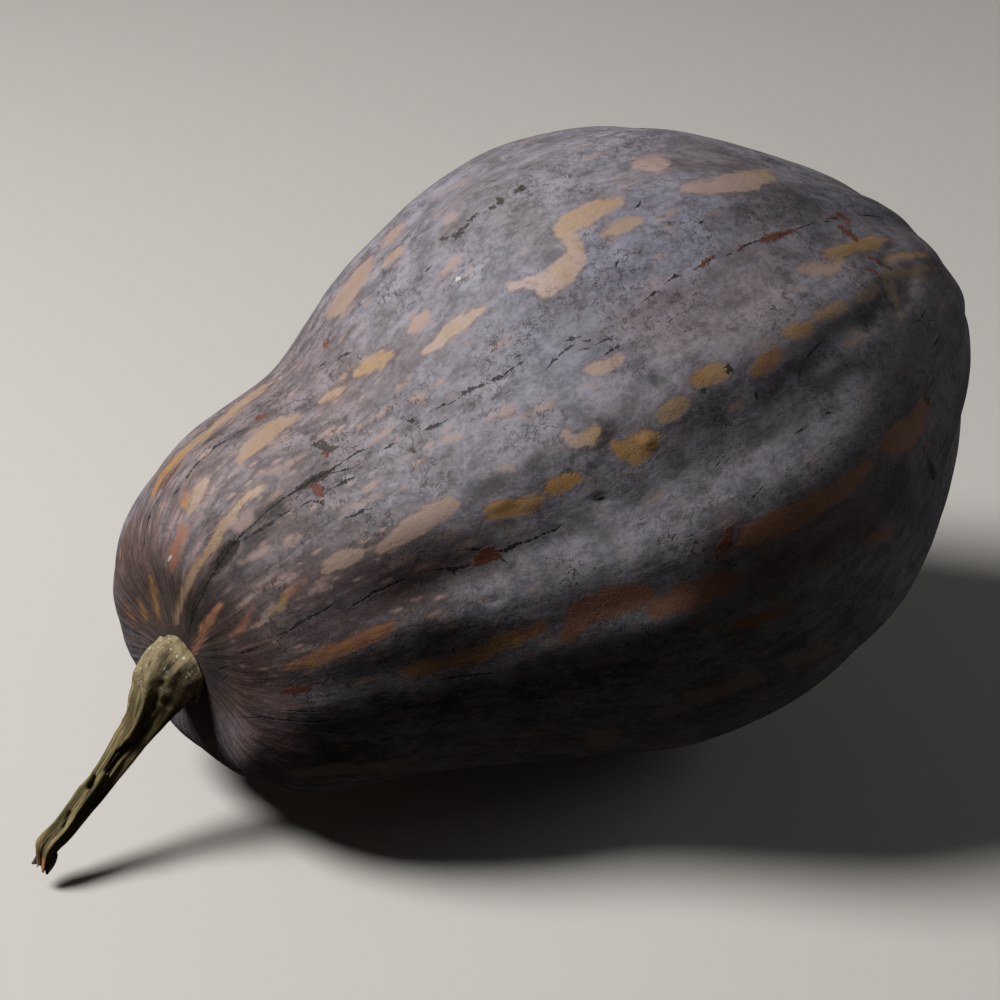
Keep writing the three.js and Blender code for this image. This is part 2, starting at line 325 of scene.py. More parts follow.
# Patches where the bloom never formed: a tone from 0, pinkish, over 1, mustard, to 1.25, rust-brown, and a
# line of pixels (x, y, half width)
PATCHES = {
    "hook, top": (0.52, [(619, 200, 5), (602, 206, 8), (586, 216, 10), (570, 225, 11), (561, 232, 7)]),
    "hook, middle": (0.42, [(570, 238, 8), (577, 250, 8), (572, 263, 12), (558, 276, 12), (542, 288, 8)]),
    "hook, left": (0.12, [(510, 285, 4), (526, 282, 6), (543, 280, 8)]),
    "below the hook": (0.42, [(603, 234, 2), (615, 230, 6), (628, 224, 7), (640, 219, 5)]),
    "top, round": (0.15, [(632, 165, 2), (642, 165, 7), (655, 165, 9), (664, 166, 5)]),
    "top, long": (0.18, [(685, 189, 3), (700, 187, 7), (720, 185, 8), (740, 181, 9), (755, 178, 9)]),
    "top, long, right end": (0.62, [(755, 178, 8), (764, 176, 7), (774, 177, 3)]),
    "middle oval": (0.35, [(588, 370, 4), (598, 368, 8), (610, 363, 7), (619, 360, 4)]),
    "left rim": (0.5, [
        (477, 162, 4), (467, 168, 8), (453, 178, 6), (438, 187, 4), (428, 194, 4), (421, 199, 2)]),
    "left rim, tip": (0.6, [(486, 152, 3), (477, 159, 4)]),
    "left, long": (0.35, [
        (372, 258, 2), (366, 268, 6), (358, 281, 7), (348, 297, 7), (338, 308, 7), (330, 316, 3)]),
    "left, upper bit": (0.25, [(402, 227, 3), (395, 233, 5), (388, 241, 4), (383, 248, 1)]),
    "left, lower bit": (0.25, [(401, 251, 3), (395, 257, 5), (388, 264, 4), (384, 269, 1)]),
    "left, drop": (0.3, [(425, 315, 4), (418, 321, 6), (412, 328, 4)]),
    "left, slanted": (0.4, [
        (424, 352, 3), (436, 342, 6), (448, 331, 8), (462, 322, 7), (474, 313, 5), (486, 307, 1)]),
    "neck, golden": (0.7, [(356, 373, 4), (366, 366, 7), (378, 360, 7), (389, 353, 4)]),
    "neck, small": (0.5, [(320, 401, 1), (328, 396, 5), (338, 391, 5), (346, 388, 1)]),
    "neck, long": (0.5, [
        (298, 415, 2), (284, 422, 6), (271, 432, 8), (257, 443, 7), (247, 453, 5), (239, 462, 2)]),
    "neck, line": (0.55, [
        (263, 387, 1.5), (248, 398, 3), (232, 411, 3), (215, 424, 2.8), (200, 438, 2.6), (186, 450, 2.4)]),
    "neck, line's end": (0.95, [
        (186, 450, 2.4), (173, 462, 2.4), (163, 474, 2.8), (157, 484, 1.8), (151, 495, 0.5)]),
    "neck, streak": (0.62, [
        (268, 483, 0.5), (257, 491, 2.6), (245, 500, 3.6), (236, 511, 4), (227, 523, 4), (218, 536, 4),
        (211, 548, 4), (202, 561, 3.8), (193, 576, 3.4), (185, 591, 3), (180, 605, 2.6), (176, 623, 1.4)]),
    "neck, pale": (0.45, [(206, 484, 3), (201, 493, 5), (194, 506, 3), (190, 515, 1)]),
    "stem end, first": (1.05, [(150, 577, 0.4), (153, 590, 1.3), (157, 608, 1.3), (158, 624, 0.6)]),
    "stem end, second": (1.05, [(139, 597, 0.4), (142, 606, 1.2), (146, 620, 0.6)]),
    "stem end, third": (1.15, [(126, 606, 0.4), (131, 615, 1), (138, 627, 0.5)]),
    "stem end, low": (1.2, [
        (219, 606, 1.5), (211, 617, 3.4), (204, 630, 4), (198, 643, 3.8), (192, 656, 2.4)]),
    "front, oval": (0.35, [(327, 570, 5), (336, 562, 9), (348, 557, 9), (360, 552, 4)]),
    "front, crisp": (0.3, [
        (375, 552, 2), (390, 541, 8), (405, 531, 9), (420, 521, 11), (436, 511, 12), (448, 504, 9)]),
    "low, long": (1.14, [
        (395, 624, 3), (380, 632, 6), (360, 641, 7), (341, 649, 7), (322, 656, 6), (305, 662, 5),
        (281, 669, 1)]),
    "crust": (0.9, [
        (484, 519, 2), (495, 511, 8), (508, 508, 10), (522, 505, 9), (535, 501, 6), (541, 497, 2)]),
    "mustard oval": (0.95, [(544, 492, 3), (553, 487, 8), (566, 482, 8), (578, 478, 4)]),
    "pink half": (0.15, [(566, 434, 3), (573, 441, 6), (580, 441, 7)]),
    "golden half": (0.75, [(582, 441, 6), (589, 436, 8), (595, 432, 5)]),
    "warted": (0.9, [(615, 444, 4), (624, 449, 9), (634, 450, 13), (646, 441, 12), (655, 436, 5)]),
    "right row, first": (0.6, [(663, 417, 7), (672, 410, 10), (680, 405, 9), (684, 400, 4)]),
    "right row, second": (0.85, [(689, 382, 2), (701, 378, 7), (713, 376, 9), (724, 371, 6)]),
    "right end, wave": (0.85, [
        (824, 254, 3), (840, 252, 6), (856, 246, 6), (869, 244, 6), (880, 243, 4), (888, 241, 1)]),
}

# The same where the edges are blurred or the patch lies in the dark
BLURRED = {
    "right row, third": (1.08, [(757, 371, 5), (767, 362, 9), (777, 353, 8)]),
    "right row, fourth": (0.8, [(784, 331, 4), (796, 330, 8), (808, 327, 8)]),
    "right row, fifth": (0.7, [(819, 317, 5), (831, 310, 8), (842, 305, 6)]),
    "right row, sixth": (0.5, [(858, 300, 4), (866, 295, 7), (875, 288, 4)]),
    "right end, tan": (0.4, [(800, 268, 3), (814, 267, 6), (828, 269, 7), (838, 262, 7)]),
    "right row, last": (0.3, [(850, 342, 5), (862, 335, 5)]),
    "pink by the right row": (0.1, [(734, 408, 5), (741, 404, 4)]),
    "right end, first line": (0.75, [(886, 259, 3), (905, 256, 3), (927, 255, 2)]),
    "right end, second line": (0.7, [(884, 276, 3), (905, 272, 4), (930, 268, 2)]),
    "right end, upright": (0.45, [(889, 284, 5), (897, 300, 5), (900, 316, 2)]),
    "right end, block": (1.2, [(884, 446, 6), (900, 440, 14), (914, 425, 12), (924, 406, 5)]),
    "right band": (1.15, [
        (740, 545, 4), (752, 534, 11), (772, 526, 13), (800, 511, 11), (825, 497, 9), (850, 480, 8),
        (870, 464, 4)]),
    "right band, low bit": (1.2, [(864, 538, 4), (886, 530, 5)]),
    "low, first": (1.2, [(567, 632, 8), (580, 613, 12), (600, 604, 14), (622, 598, 14), (642, 594, 10)]),
    "low, second": (1.2, [(655, 607, 8), (675, 600, 11), (700, 592, 12), (722, 584, 10), (738, 578, 5)]),
    "low, in the dark": (1.1, [(405, 672, 4), (440, 664, 6), (480, 652, 7), (505, 640, 7), (540, 626, 6)]),
    "low, last": (1.2, [(735, 626, 5), (762, 616, 6), (785, 609, 4)]),
    "belly, first": (0.3, [(690, 697, 5), (725, 688, 6), (760, 678, 5)]),
    "belly, second": (0.3, [(790, 664, 4), (828, 650, 5)]),
    "belly, third": (0.4, [(590, 741, 5), (612, 737, 6)]),
    "belly, left": (0.25, [(300, 770, 4), (350, 768, 5), (405, 766, 4)]),
    "neck, blotch": (1.22, [(184, 528, 4), (178, 546, 6), (174, 560, 5), (172, 570, 3)]),
    "neck, by the streak": (0.05, [(250, 517, 5), (240, 528, 6)]),
    "neck, red bit": (1.2, [(188, 494, 2), (186, 504, 3)]),
    "stem end, pink": (1.2, [(251, 609, 2), (246, 620, 3), (240, 629, 4), (231, 636, 2)]),
    "stem end, grey": (0.2, [(263, 617, 2), (272, 610, 3), (281, 603, 3)]),
    "small, first": (0.05, [(499, 470, 4), (508, 466, 5), (514, 470, 2)]),
    "small, second": (0.05, [(444, 441, 2), (454, 437, 5), (463, 435, 2)]),
    "small, third": (0.05, [(497, 414, 2), (508, 411, 5), (516, 409, 2)]),
    "small, fourth": (0.1, [(444, 271, 4), (452, 263, 6), (460, 257, 3)]),
    "small, fifth": (0.1, [(447, 222, 3), (455, 217, 3)]),
    "small, sixth": (0.1, [(412, 399, 2), (424, 393, 3)]),
    "fleck, 1": (0.1, [(241, 563, 2), (262, 552, 3), (268, 548, 1)]),
    "fleck, 2": (0.15, [(287, 545, 2), (299, 536, 3)]),
    "fleck, 3": (0.05, [(254, 587, 2), (275, 573, 3)]),
    "fleck, 4": (1.15, [(283, 599, 3), (292, 590, 4), (304, 581, 3)]),
    "fleck, 5": (1.1, [(272, 612, 3), (284, 603, 3)]),
    "fleck, 6": (0.05, [(311, 592, 3), (324, 585, 3)]),
    "fleck, 7": (0.1, [(266, 476, 2), (278, 468, 3)]),
    "fleck, 8": (0.2, [(280, 471, 2), (290, 463, 3)]),
    "fleck, 9": (0.05, [(345, 510, 3), (362, 503, 4), (380, 496, 2)]),
    "fleck, 10": (0.15, [(246, 600, 2), (258, 590, 2)]),
    "fleck, 11": (0.1, [(392, 566, 3), (412, 556, 3)]),
}

# Rust-red corky scabs, and black-brown ones
RUST = {
    "over the crack": [(472, 566, 1), (481, 558, 6), (490, 553, 7), (499, 556, 3)],
    "top line, last": [(757, 241, 1), (765, 238, 3), (777, 235, 4), (790, 231, 2), (798, 229, 0)],
    "top line, fourth": [(735, 252, 1), (741, 248, 2.5), (748, 245, 0.5)],
    "top line, third": [(695, 269, 0), (704, 263, 3), (712, 258, 2), (719, 255, 0)],
    "right end": [(838, 226, 1), (846, 231, 2.2), (853, 238, 2.4), (857, 244, 0.5)],
    "right end, high": [(829, 217, 1), (838, 213, 2), (847, 220, 1.4), (850, 228, 0.5)],
    "neck, by the line": [(181, 464, 0.6), (176, 470, 1.4), (168, 480, 1.2), (161, 489, 0.5)],
    "neck, edge": [(325, 347, 2), (328, 341, 2)],
    "neck, tip": [(266, 413, 1), (258, 418, 3), (254, 422, 1)],
    "star's foot": [(321, 451, 1), (326, 454, 3)],
    "crack's foot": [(312, 486, 3), (318, 490, 5), (322, 494, 2)],
    "shoulder": [(283, 692, 2), (297, 690, 4), (309, 688, 2)],
    "right, speckled": [(718, 556, 3), (727, 541, 5), (731, 528, 3)],
    "net by the wave": [(868, 258, 1), (880, 262, 1.5), (892, 268, 1)],
    "net by the wave, low": [(866, 268, 0.8), (876, 274, 1.2), (880, 282, 0.8)],
}
SCABS = {
    "neck, black": [(214, 574, 2), (219, 563, 5), (227, 554, 6), (233, 546, 6), (238, 541, 2)],
    "top cluster": [
        (452, 233, 1), (456, 237, 3), (463, 230, 2), (469, 223, 2.4), (473, 217, 1.6), (482, 213, 1)],
    "top cluster, tail": [(440, 239, 1), (445, 239, 2)],
    "top, second": [(490, 209, 1.5), (497, 205, 1), (500, 201, 4), (498, 198, 1)],
    "top, third": [(514, 193, 1), (520, 190, 3), (525, 187, 2)],
    "star": [(313, 445, 1), (322, 446, 4), (331, 449, 2), (338, 446, 1)],
    "star, upright": [(321, 440, 2), (325, 447, 4), (328, 455, 1)],
    "crack's foot": [(298, 489, 2), (308, 483, 4), (322, 476, 4), (333, 471, 2)],
    "right end": [(823, 222, 0.5), (830, 219, 1.8), (839, 217, 1.2)],
    "golden patch's end": [(724, 370, 3), (729, 369, 5)],
    "golden patch's foot": [(698, 391, 2), (707, 389, 2)],
    "dot": [(408, 449, 1), (414, 450, 3)],
    "right edge": [(931, 459, 1), (935, 470, 3), (935, 477, 3)],
    "right edge, high": [(927, 399, 2), (931, 407, 1)],
    "by the right fold": [(752, 391, 1), (758, 397, 3)],
}

# Soft dark soot on the bloom, and painted shade in the furrows and folds, along the shoulder, by the stem and
# on the blossom side: strength, softness in pixels, and a line of pixels
SOOT_AND_SHADE = {
    "over the crust": (0.35, 8, [(480, 489, 5), (505, 483, 6), (530, 480, 7)]),
    "over the mustard oval": (0.4, 8, [(528, 470, 3), (550, 463, 7), (575, 461, 9)]),
    "by the golden half": (0.75, 6, [(606, 428, 6), (596, 455, 6), (590, 466, 4)]),
    "in the furrow": (0.2, 12, [(520, 522, 5), (560, 508, 8), (600, 494, 10), (625, 476, 8)]),
    "in the furrow, left": (0.1, 14, [(420, 552, 6), (460, 538, 8), (500, 526, 8)]),
    "by the right row": (0.5, 7, [(690, 424, 5), (720, 415, 4)]),
    "right fold": (0.22, 8, [(842, 328, 4), (828, 346, 5), (806, 362, 5), (800, 380, 5), (768, 398, 5)]),
    "right fold, low": (0.25, 8, [(818, 386, 4), (834, 392, 3)]),
    "blossom side": (0.6, 9, [(884, 296, 5), (870, 312, 8)]),
    "right patches": (0.3, 12, [(890, 370, 8), (890, 480, 10), (868, 512, 8)]),
    "middle dots": (0.5, 5, [(657, 381, 3), (655, 378, 3)]),
    "lower neck": (0.55, 9, [(262, 648, 4), (300, 625, 4), (335, 606, 3)]),
    "shoulder line": (0.5, 10, [(255, 712, 2), (320, 722, 4), (400, 722, 5)]),
    "shoulder line, low": (0.5, 8, [(270, 745, 2), (320, 752, 4), (380, 752, 5)]),
    "low furrow": (0.65, 10, [(380, 706, 6), (450, 700, 7), (540, 684, 6), (640, 668, 4)]),
    "by the stem": (0.6, 12, [(192, 640, 6), (206, 655, 8), (215, 682, 6)]),
    "neck furrow": (0.7, 11, [
        (190, 636, 4), (202, 610, 7), (214, 588, 8), (232, 560, 7), (252, 536, 4), (276, 512, 2)]),
    "upper left": (0.35, 9, [(205, 440, 3), (240, 428, 3)]),
    "top olive": (0.14, 12, [(530, 222, 8), (552, 236, 8)]),
    "middle right": (0.35, 9, [(700, 206, 8), (760, 204, 8), (820, 196, 6)]),
}

# Washes of colour under the bloom, and painted shade round the stem, at the blossom end and on the dark right
# belly: a red, green and blue factor, softness in pixels, and a line of pixels
WASHES_AND_SHADE = {
    "brown front of the neck": ((0.62, 0.50, 0.45), 45, [(250, 630, 25), (330, 600, 25), (400, 580, 15)]),
    "mauve neck": ((0.93, 0.81, 0.75), 60, [(150, 520, 30), (220, 470, 50), (300, 400, 30)]),
    "round the stem": ((0.50, 0.42, 0.37), 26, [(205, 600, 8), (235, 655, 14), (228, 690, 8)]),
    "brown stem end": ((0.64, 0.53, 0.45), 26, [(120, 540, 10), (140, 580, 14), (170, 625, 18)]),
    "stem end, front": ((0.86, 0.64, 0.58), 24, [(262, 700, 14), (275, 740, 16)]),
    "pink net": ((1.10, 1.00, 0.96), 30, [(650, 330, 10), (700, 310, 18), (760, 285, 12)]),
    "olive mottle": ((0.9, 0.87, 0.8), 14, [(515, 215, 8), (545, 240, 12)]),
    "brown mottle": ((0.84, 0.78, 0.76), 20, [(690, 150, 8), (735, 162, 12)]),
    "smooth grey": ((0.82, 0.82, 0.85), 34, [(775, 190, 10), (830, 205, 14)]),
    "blue middle": ((0.93, 0.97, 1.05), 50, [(560, 320, 20), (660, 250, 30)]),
    "blossom end": ((0.72, 0.68, 0.66), 40, [(930, 280, 20), (940, 380, 25), (930, 480, 20)]),
    "olive speck": ((0.86, 0.86, 0.74), 12, [(512, 530, 5), (520, 536, 4)]),
    "brown by the rust": ((0.84, 0.74, 0.74), 14, [(440, 556, 6), (466, 546, 5)]),
    "purple-brown": ((0.74, 0.60, 0.60), 14, [(722, 552, 6), (728, 530, 6)]),
    "dark right belly": ((0.66, 0.56, 0.50), 24, [(780, 550, 14), (830, 520, 12), (880, 500, 10)]),
}

# Dry cracks by their region: lines of pixels (x, y, half width) that run out to nothing at both ends
CRACKS = {
    "neck": [
        [(186, 640), (192, 622, 0.7), (203, 596, 0.8), (216, 571, 1), (237, 541, 0.8), (254, 524, 0.4),
         (268, 511, 0.5), (283, 499, 0.5), (298, 490, 0.9), (314, 480, 1.4), (330, 471, 0.9), (344, 461, 0.4),
         (358, 452, 0.9), (369, 448)],
        [(250, 537), (264, 529, 1.2), (278, 517, 2), (290, 511)],
        [(238, 544), (252, 535, 0.8), (268, 524, 0.6), (281, 517)],
        [(333, 473), (344, 470, 1), (356, 467)],
        [(334, 488), (346, 481, 2), (355, 477)],
        [(300, 507), (310, 501, 1), (321, 502, 1.6), (323, 505)],
        [(343, 518), (354, 516, 0.8), (364, 510, 1.2), (370, 509)],
        [(384, 449), (390, 446, 1.4), (396, 443)],
    ],
    "middle": [
        [(423, 431), (432, 427, 1.8), (440, 424, 1), (449, 419)],
        [(409, 421), (412, 421, 1.6), (414, 421)],
        [(438, 408), (443, 405, 1.8), (449, 404, 0.6), (457, 400)],
        [(460, 397), (463, 394, 2.4), (472, 389, 2.2), (480, 386, 1.6), (487, 384)],
        [(490, 381), (495, 379, 2), (502, 377, 1.6), (506, 373, 0.8), (521, 363, 1), (522, 362)],
        [(516, 357), (519, 356, 0.8), (521, 355)],
        [(545, 371), (551, 364, 0.8), (553, 361, 1.4), (558, 359)],
        [(558, 357), (562, 353, 0.8), (570, 347, 1.2), (572, 346)],
        [(579, 350), (585, 349, 0.8), (588, 349)],
        [(566, 341), (572, 339, 1.6), (579, 337)],
        [(584, 341), (588, 341, 1), (590, 341)],
        [(594, 346), (601, 342, 0.5), (611, 338, 1), (613, 336)],
        [(604, 356), (609, 352, 1), (616, 348, 1.6), (619, 346)],
    ],
    "top": [
        [(645, 300), (652, 295, 1.6), (655, 292, 0.8), (661, 291)],
        [(666, 283), (671, 279, 0.8), (676, 276, 1.4), (682, 276)],
        [(693, 270), (705, 263, 1.2), (719, 255)],
        [(727, 256), (730, 254, 0.6), (732, 254)],
        [(735, 254), (745, 246, 0.8), (760, 240, 0.8), (780, 236, 1), (800, 228, 0.6), (818, 222)],
        [(635, 209), (639, 205, 1.6), (641, 201)],
        [(616, 268), (617, 263, 1.2), (618, 260)],
        [(699, 224), (702, 222, 1.2), (704, 220)],
    ],
    "top left": [
        [(425, 272), (428, 269, 1), (430, 267)],
    ],
    "upper neck": [
        [(335, 362), (342, 356, 0.6), (347, 354, 1.2), (352, 353)],
        [(318, 368), (322, 365, 1), (326, 363)],
        [(205, 443), (212, 439, 0.8), (219, 437)],
        [(205, 458), (211, 452, 1), (215, 447, 1.6), (222, 443, 0.8), (233, 436, 0.6), (248, 426)],
        [(185, 482), (189, 474, 2), (198, 463, 1), (208, 455)],
        [(171, 497), (175, 493, 1), (181, 487)],
    ],
    "stem end": [
        [(146, 532), (149, 518, 2), (153, 508, 1.2), (159, 499, 1.6), (161, 495)],
        [(142, 556), (144, 544, 1), (145, 535)],
    ],
    "front": [
        [(348, 609), (356, 604, 1), (364, 600, 0.6), (374, 592, 1.4), (384, 589, 1), (396, 583, 1.2),
         (410, 577)],
        [(430, 571), (440, 570, 1.2), (446, 568, 0.6), (452, 570, 2.2), (466, 567, 1.2), (476, 562)],
        [(494, 552), (505, 551, 1.8), (518, 544, 1.4), (530, 541, 1), (545, 534, 1), (556, 530, 1),
         (563, 524)],
        [(463, 551), (470, 549, 1.6), (478, 550, 1), (484, 547)],
        [(496, 556), (506, 562, 1), (508, 564)],
    ],
    "low neck": [
        [(213, 672), (224, 668, 1.4), (230, 666)],
        [(217, 678), (223, 680, 1), (229, 674)],
        [(234, 665), (246, 662, 0.8), (256, 659)],
        [(236, 655), (250, 651, 1.2), (262, 646)],
        [(268, 640), (288, 632, 1), (305, 620, 1.6), (322, 612, 1.6), (338, 602)],
    ],
    "low": [
        [(236, 716), (262, 717, 1), (290, 721, 0.8), (318, 722, 1), (345, 718)],
        [(262, 708), (300, 711, 0.8), (330, 712)],
        [(300, 728), (330, 732, 0.8), (352, 726)],
        [(420, 684), (470, 676, 0.8), (520, 672)],
    ],
    "right": [
        [(714, 471), (718, 464, 0.7), (722, 460)],
        [(726, 463), (729, 459, 0.7), (732, 456)],
        [(748, 504), (754, 497, 0.8), (760, 491, 0.7), (766, 484)],
        [(825, 414), (828, 413, 1.4), (831, 413)],
        [(795, 434), (800, 431, 1.6), (805, 429)],
    ],
    "right end": [
        [(917, 321), (921, 320, 0.9), (926, 312, 0.9), (928, 308)],
        [(928, 333), (931, 320, 0.9), (937, 320)],
        [(933, 347), (938, 341, 1.4), (942, 334)],
        [(857, 215), (870, 216, 1), (884, 219)],
    ],
    "right fold": [
        [(826, 336), (812, 352, 1), (802, 363)],
        [(800, 362), (800, 372, 1), (799, 384)],
    ],
}

# Fallen specks of pale dirt
SPECKS = {
    "left": [(455, 279, 2), (459, 277, 2)],
    "neck": [(352, 426, 2), (355, 429, 1)],
    "middle": [(530, 363, 1), (531, 363, 1)],
    "neck, on the blotch": [(169, 561, 1.5), (172, 557, 1.5)],
    "rim": [(278, 378, 1), (281, 377, 1)],
    "right": [(809, 261, 1), (811, 261, 1)],
    "wart": [(646, 443, 2), (650, 441, 2)],
}


def stroke_gap(spots, stroke, reach):
    """Distance from each spot to the edge of a stroke (x, y, half width), negative inside, up to reach."""
    stroke = np.array(stroke, float)
    margin = reach + stroke[:, -1].max()
    low = stroke[:, :-1].min(axis=0) - margin
    high = stroke[:, :-1].max(axis=0) + margin
    near = ((spots > low) & (spots < high)).all(axis=1)
    nearest = np.full(near.sum(), float(reach))
    for first, second in zip(stroke[:-1], stroke[1:]):
        run = second[:-1] - first[:-1]
        offset = spots[near] - first[:-1]
        share = np.clip(offset @ run / (run @ run), 0, 1)
        gap = np.linalg.norm(offset - share[:, None] * run, axis=1)
        nearest = np.minimum(nearest, gap - first[-1] - (second[-1] - first[-1]) * share)
    result = np.full(len(spots), float(reach))
    result[near] = nearest
    return result


def stroke_share(spots, stroke, softness):
    """1 on a brush stroke, falling off softly past its edge."""
    return bell(np.maximum(0, stroke_gap(spots, stroke, 3 * softness)), softness)


GRAZING = (0.02, 0.12)
spots = photo_spots(points)
facing = np.einsum("ij,ij->i", outward, unit(np.array(eye) - points))
shown = smooth_step(facing, *GRAZING)
for depth, softness, stroke in CREASES.values():
    rise -= depth * stroke_share(spots, stroke, softness) * shown
skin_points = points + outward * rise[:, None]
skin_points[:, 2] = np.maximum(skin_points[:, 2], 0)
fruit = new_piece("fruit_skin", skin_points, ring_faces(FRUIT_RINGS, FRUIT_SIDES))

# Marks on the side that the photograph doesn't show: how many, the shortest, the longest, the widest, a seed
HIDDEN_MARKS = {
    "patches": (60, 0.012, 0.05, 0.0042, 21),
    "blurred": (34, 0.006, 0.03, 0.0035, 22),
    "rust": (16, 0.004, 0.02, 0.0022, 23),
    "scabs": (14, 0.003, 0.010, 0.0016, 24),
    "cracks": (52, 0.008, 0.04, 0.0006, 25),
}
HIDDEN_RINGS = (FRUIT_RINGS // 16, FRUIT_RINGS - FRUIT_RINGS // 12)
HIDDEN_FACING = -0.12
MARK_WIDTHS = np.array([0.35, 1, 0.8, 0.2])
FAR = 15.0
MILLIMETRES = 1000
HIDDEN_SOOT = {"size": 0.03, "seed": 8, "strength": 0.4}
STEM_END_LOSS = {"reach": (0.01, 0.06), "colors": np.array([0.2, 0.28, 0.34])}
TONE_BLEED = 0.8
TONE_REACH = 9
MIDDLE_TONE = 0.4
MUSTARD_PLACE = 0.8


def skin_lines(count, shortest, longest, widest, seed):
    """Brush strokes (x, y, z, half width) along the ribs, strewn over the side that isn't shown."""
    draw = np.random.default_rng(seed)
    steps = np.arange(len(MARK_WIDTHS))
    lines = []
    while len(lines) < count:
        ring = draw.integers(*HIDDEN_RINGS)
        side = draw.integers(FRUIT_SIDES)
        stride = draw.uniform(shortest, longest) / skin_lengths[1] / steps[-1]
        rings = np.clip(ring + np.round(stride * steps).astype(int), 0, FRUIT_RINGS - 1)
        sides = (side + np.round(draw.uniform(-1, 1) * steps).astype(int)) % FRUIT_SIDES
        chosen = 1 + rings * FRUIT_SIDES + sides
        half_widths = widest * draw.uniform(0.4, 1) * MARK_WIDTHS
        if facing[chosen].max() < HIDDEN_FACING and len(set(rings)) == len(steps):
            lines.append(np.column_stack([skin_points[chosen], half_widths]))
    return lines


def gap_field(strokes, hidden_strokes=()):
    """Millimetres from each point of the skin to the nearest of these strokes, negative inside one."""
    nearest = np.full(len(points), FAR)
    for stroke in strokes:
        gap = stroke_gap(spots, stroke, FAR / MILLIMETRES / PIXEL) * PIXEL * MILLIMETRES
        nearest = np.minimum(nearest, gap + FAR * (1 - shown))
    for stroke in hidden_strokes:
        gap = stroke_gap(skin_points, stroke, FAR / MILLIMETRES) * MILLIMETRES
        nearest = np.minimum(nearest, gap)
    return nearest


def tone_field(toned):
    """Where the patches round each point stand in their tones, from (tone, gap in millimetres) of each."""
    total = np.full(len(points), 1e-6)
    weighed = total * MIDDLE_TONE
    for tone, gap in toned:
        weight = np.exp(-np.maximum(gap, 0) / TONE_BLEED) * (gap < TONE_REACH)
        total += weight
        weighed += weight * tone
    return MUSTARD_PLACE * weighed / total


hidden = {kind: skin_lines(*sizes) for kind, sizes in HIDDEN_MARKS.items()}
toned = [(tone, gap_field([stroke])) for tone, stroke in [*PATCHES.values(), *BLURRED.values()]]
for i, stroke in enumerate([*hidden["patches"], *hidden["blurred"]]):
    toned.append((0.1 + 0.8 * (i * 7 % 10) / 10, gap_field([], [stroke])))

store(fruit, "skin_map", skin_map * MILLIMETRES, "FLOAT_VECTOR")
store(fruit, "patch", gap_field([stroke for _, stroke in PATCHES.values()], hidden["patches"]))
store(fruit, "blurred", gap_field([stroke for _, stroke in BLURRED.values()], hidden["blurred"]))
store(fruit, "tone", tone_field(toned))
store(fruit, "rust", gap_field(RUST.values(), hidden["rust"]))
store(fruit, "scab", gap_field(SCABS.values(), hidden["scabs"]))
store(fruit, "speck", gap_field(SPECKS.values()))

# Soot and painted shade for each point of the skin, with random soot on the side that isn't shown
soot_and_shade = np.zeros(len(points))
for strength, softness, stroke in SOOT_AND_SHADE.values():
    soot_and_shade = np.maximum(soot_and_shade, strength * stroke_share(spots, stroke, softness) * shown)
hidden_soot = np.maximum(0, unevenness(points, HIDDEN_SOOT["size"], HIDDEN_SOOT["seed"]) - 0.5)
soot_and_shade += HIDDEN_SOOT["strength"] * hidden_soot * (1 - shown)
store(fruit, "soot_and_shade", np.minimum(soot_and_shade, 1))

# The colour washes for each point, with the painted shade round the stem, at the blossom end and on the right
# belly
wash_and_shade = np.ones((len(points), 3))
for factors, softness, stroke in WASHES_AND_SHADE.values():
    share = stroke_share(spots, stroke, softness) * shown
    wash_and_shade *= 1 + share[:, None] * (np.array(factors) - 1)
behind = (1 - shown) * (1 - smooth_step(from_stem, *STEM_END_LOSS["reach"]))
wash_and_shade *= 1 - behind[:, None] * STEM_END_LOSS["colors"]
store(fruit, "wash_and_shade", wash_and_shade, "FLOAT_VECTOR")


def on_skin(x, y):
    """The point of the skin under a pixel of the photograph."""
    turned_away = facing < 0.05
    near = np.argmin(np.hypot(spots[:, 0] - x, spots[:, 1] - y) + 10 * PHOTO_WIDTH * turned_away)
    across_view = view_right * (x - PHOTO_MIDDLE) - view_up * (y - PHOTO_MIDDLE)
    sight = np.array(across_view - view_back * FOCAL_PIXELS)
    to_skin = skin_points[near] - np.array(eye)
    return np.array(eye) + sight * (to_skin @ outward[near]) / (sight @ outward[near])


def crack_line(pixels):
    """A crack's points on the skin, each with its half width, which is 0 at both ends."""
    half_widths = [0, *(half for _, _, half in pixels[1:-1]), 0]
    return np.array([[*on_skin(*pixel[:2]), half * PIXEL] for pixel, half in zip(pixels, half_widths)])


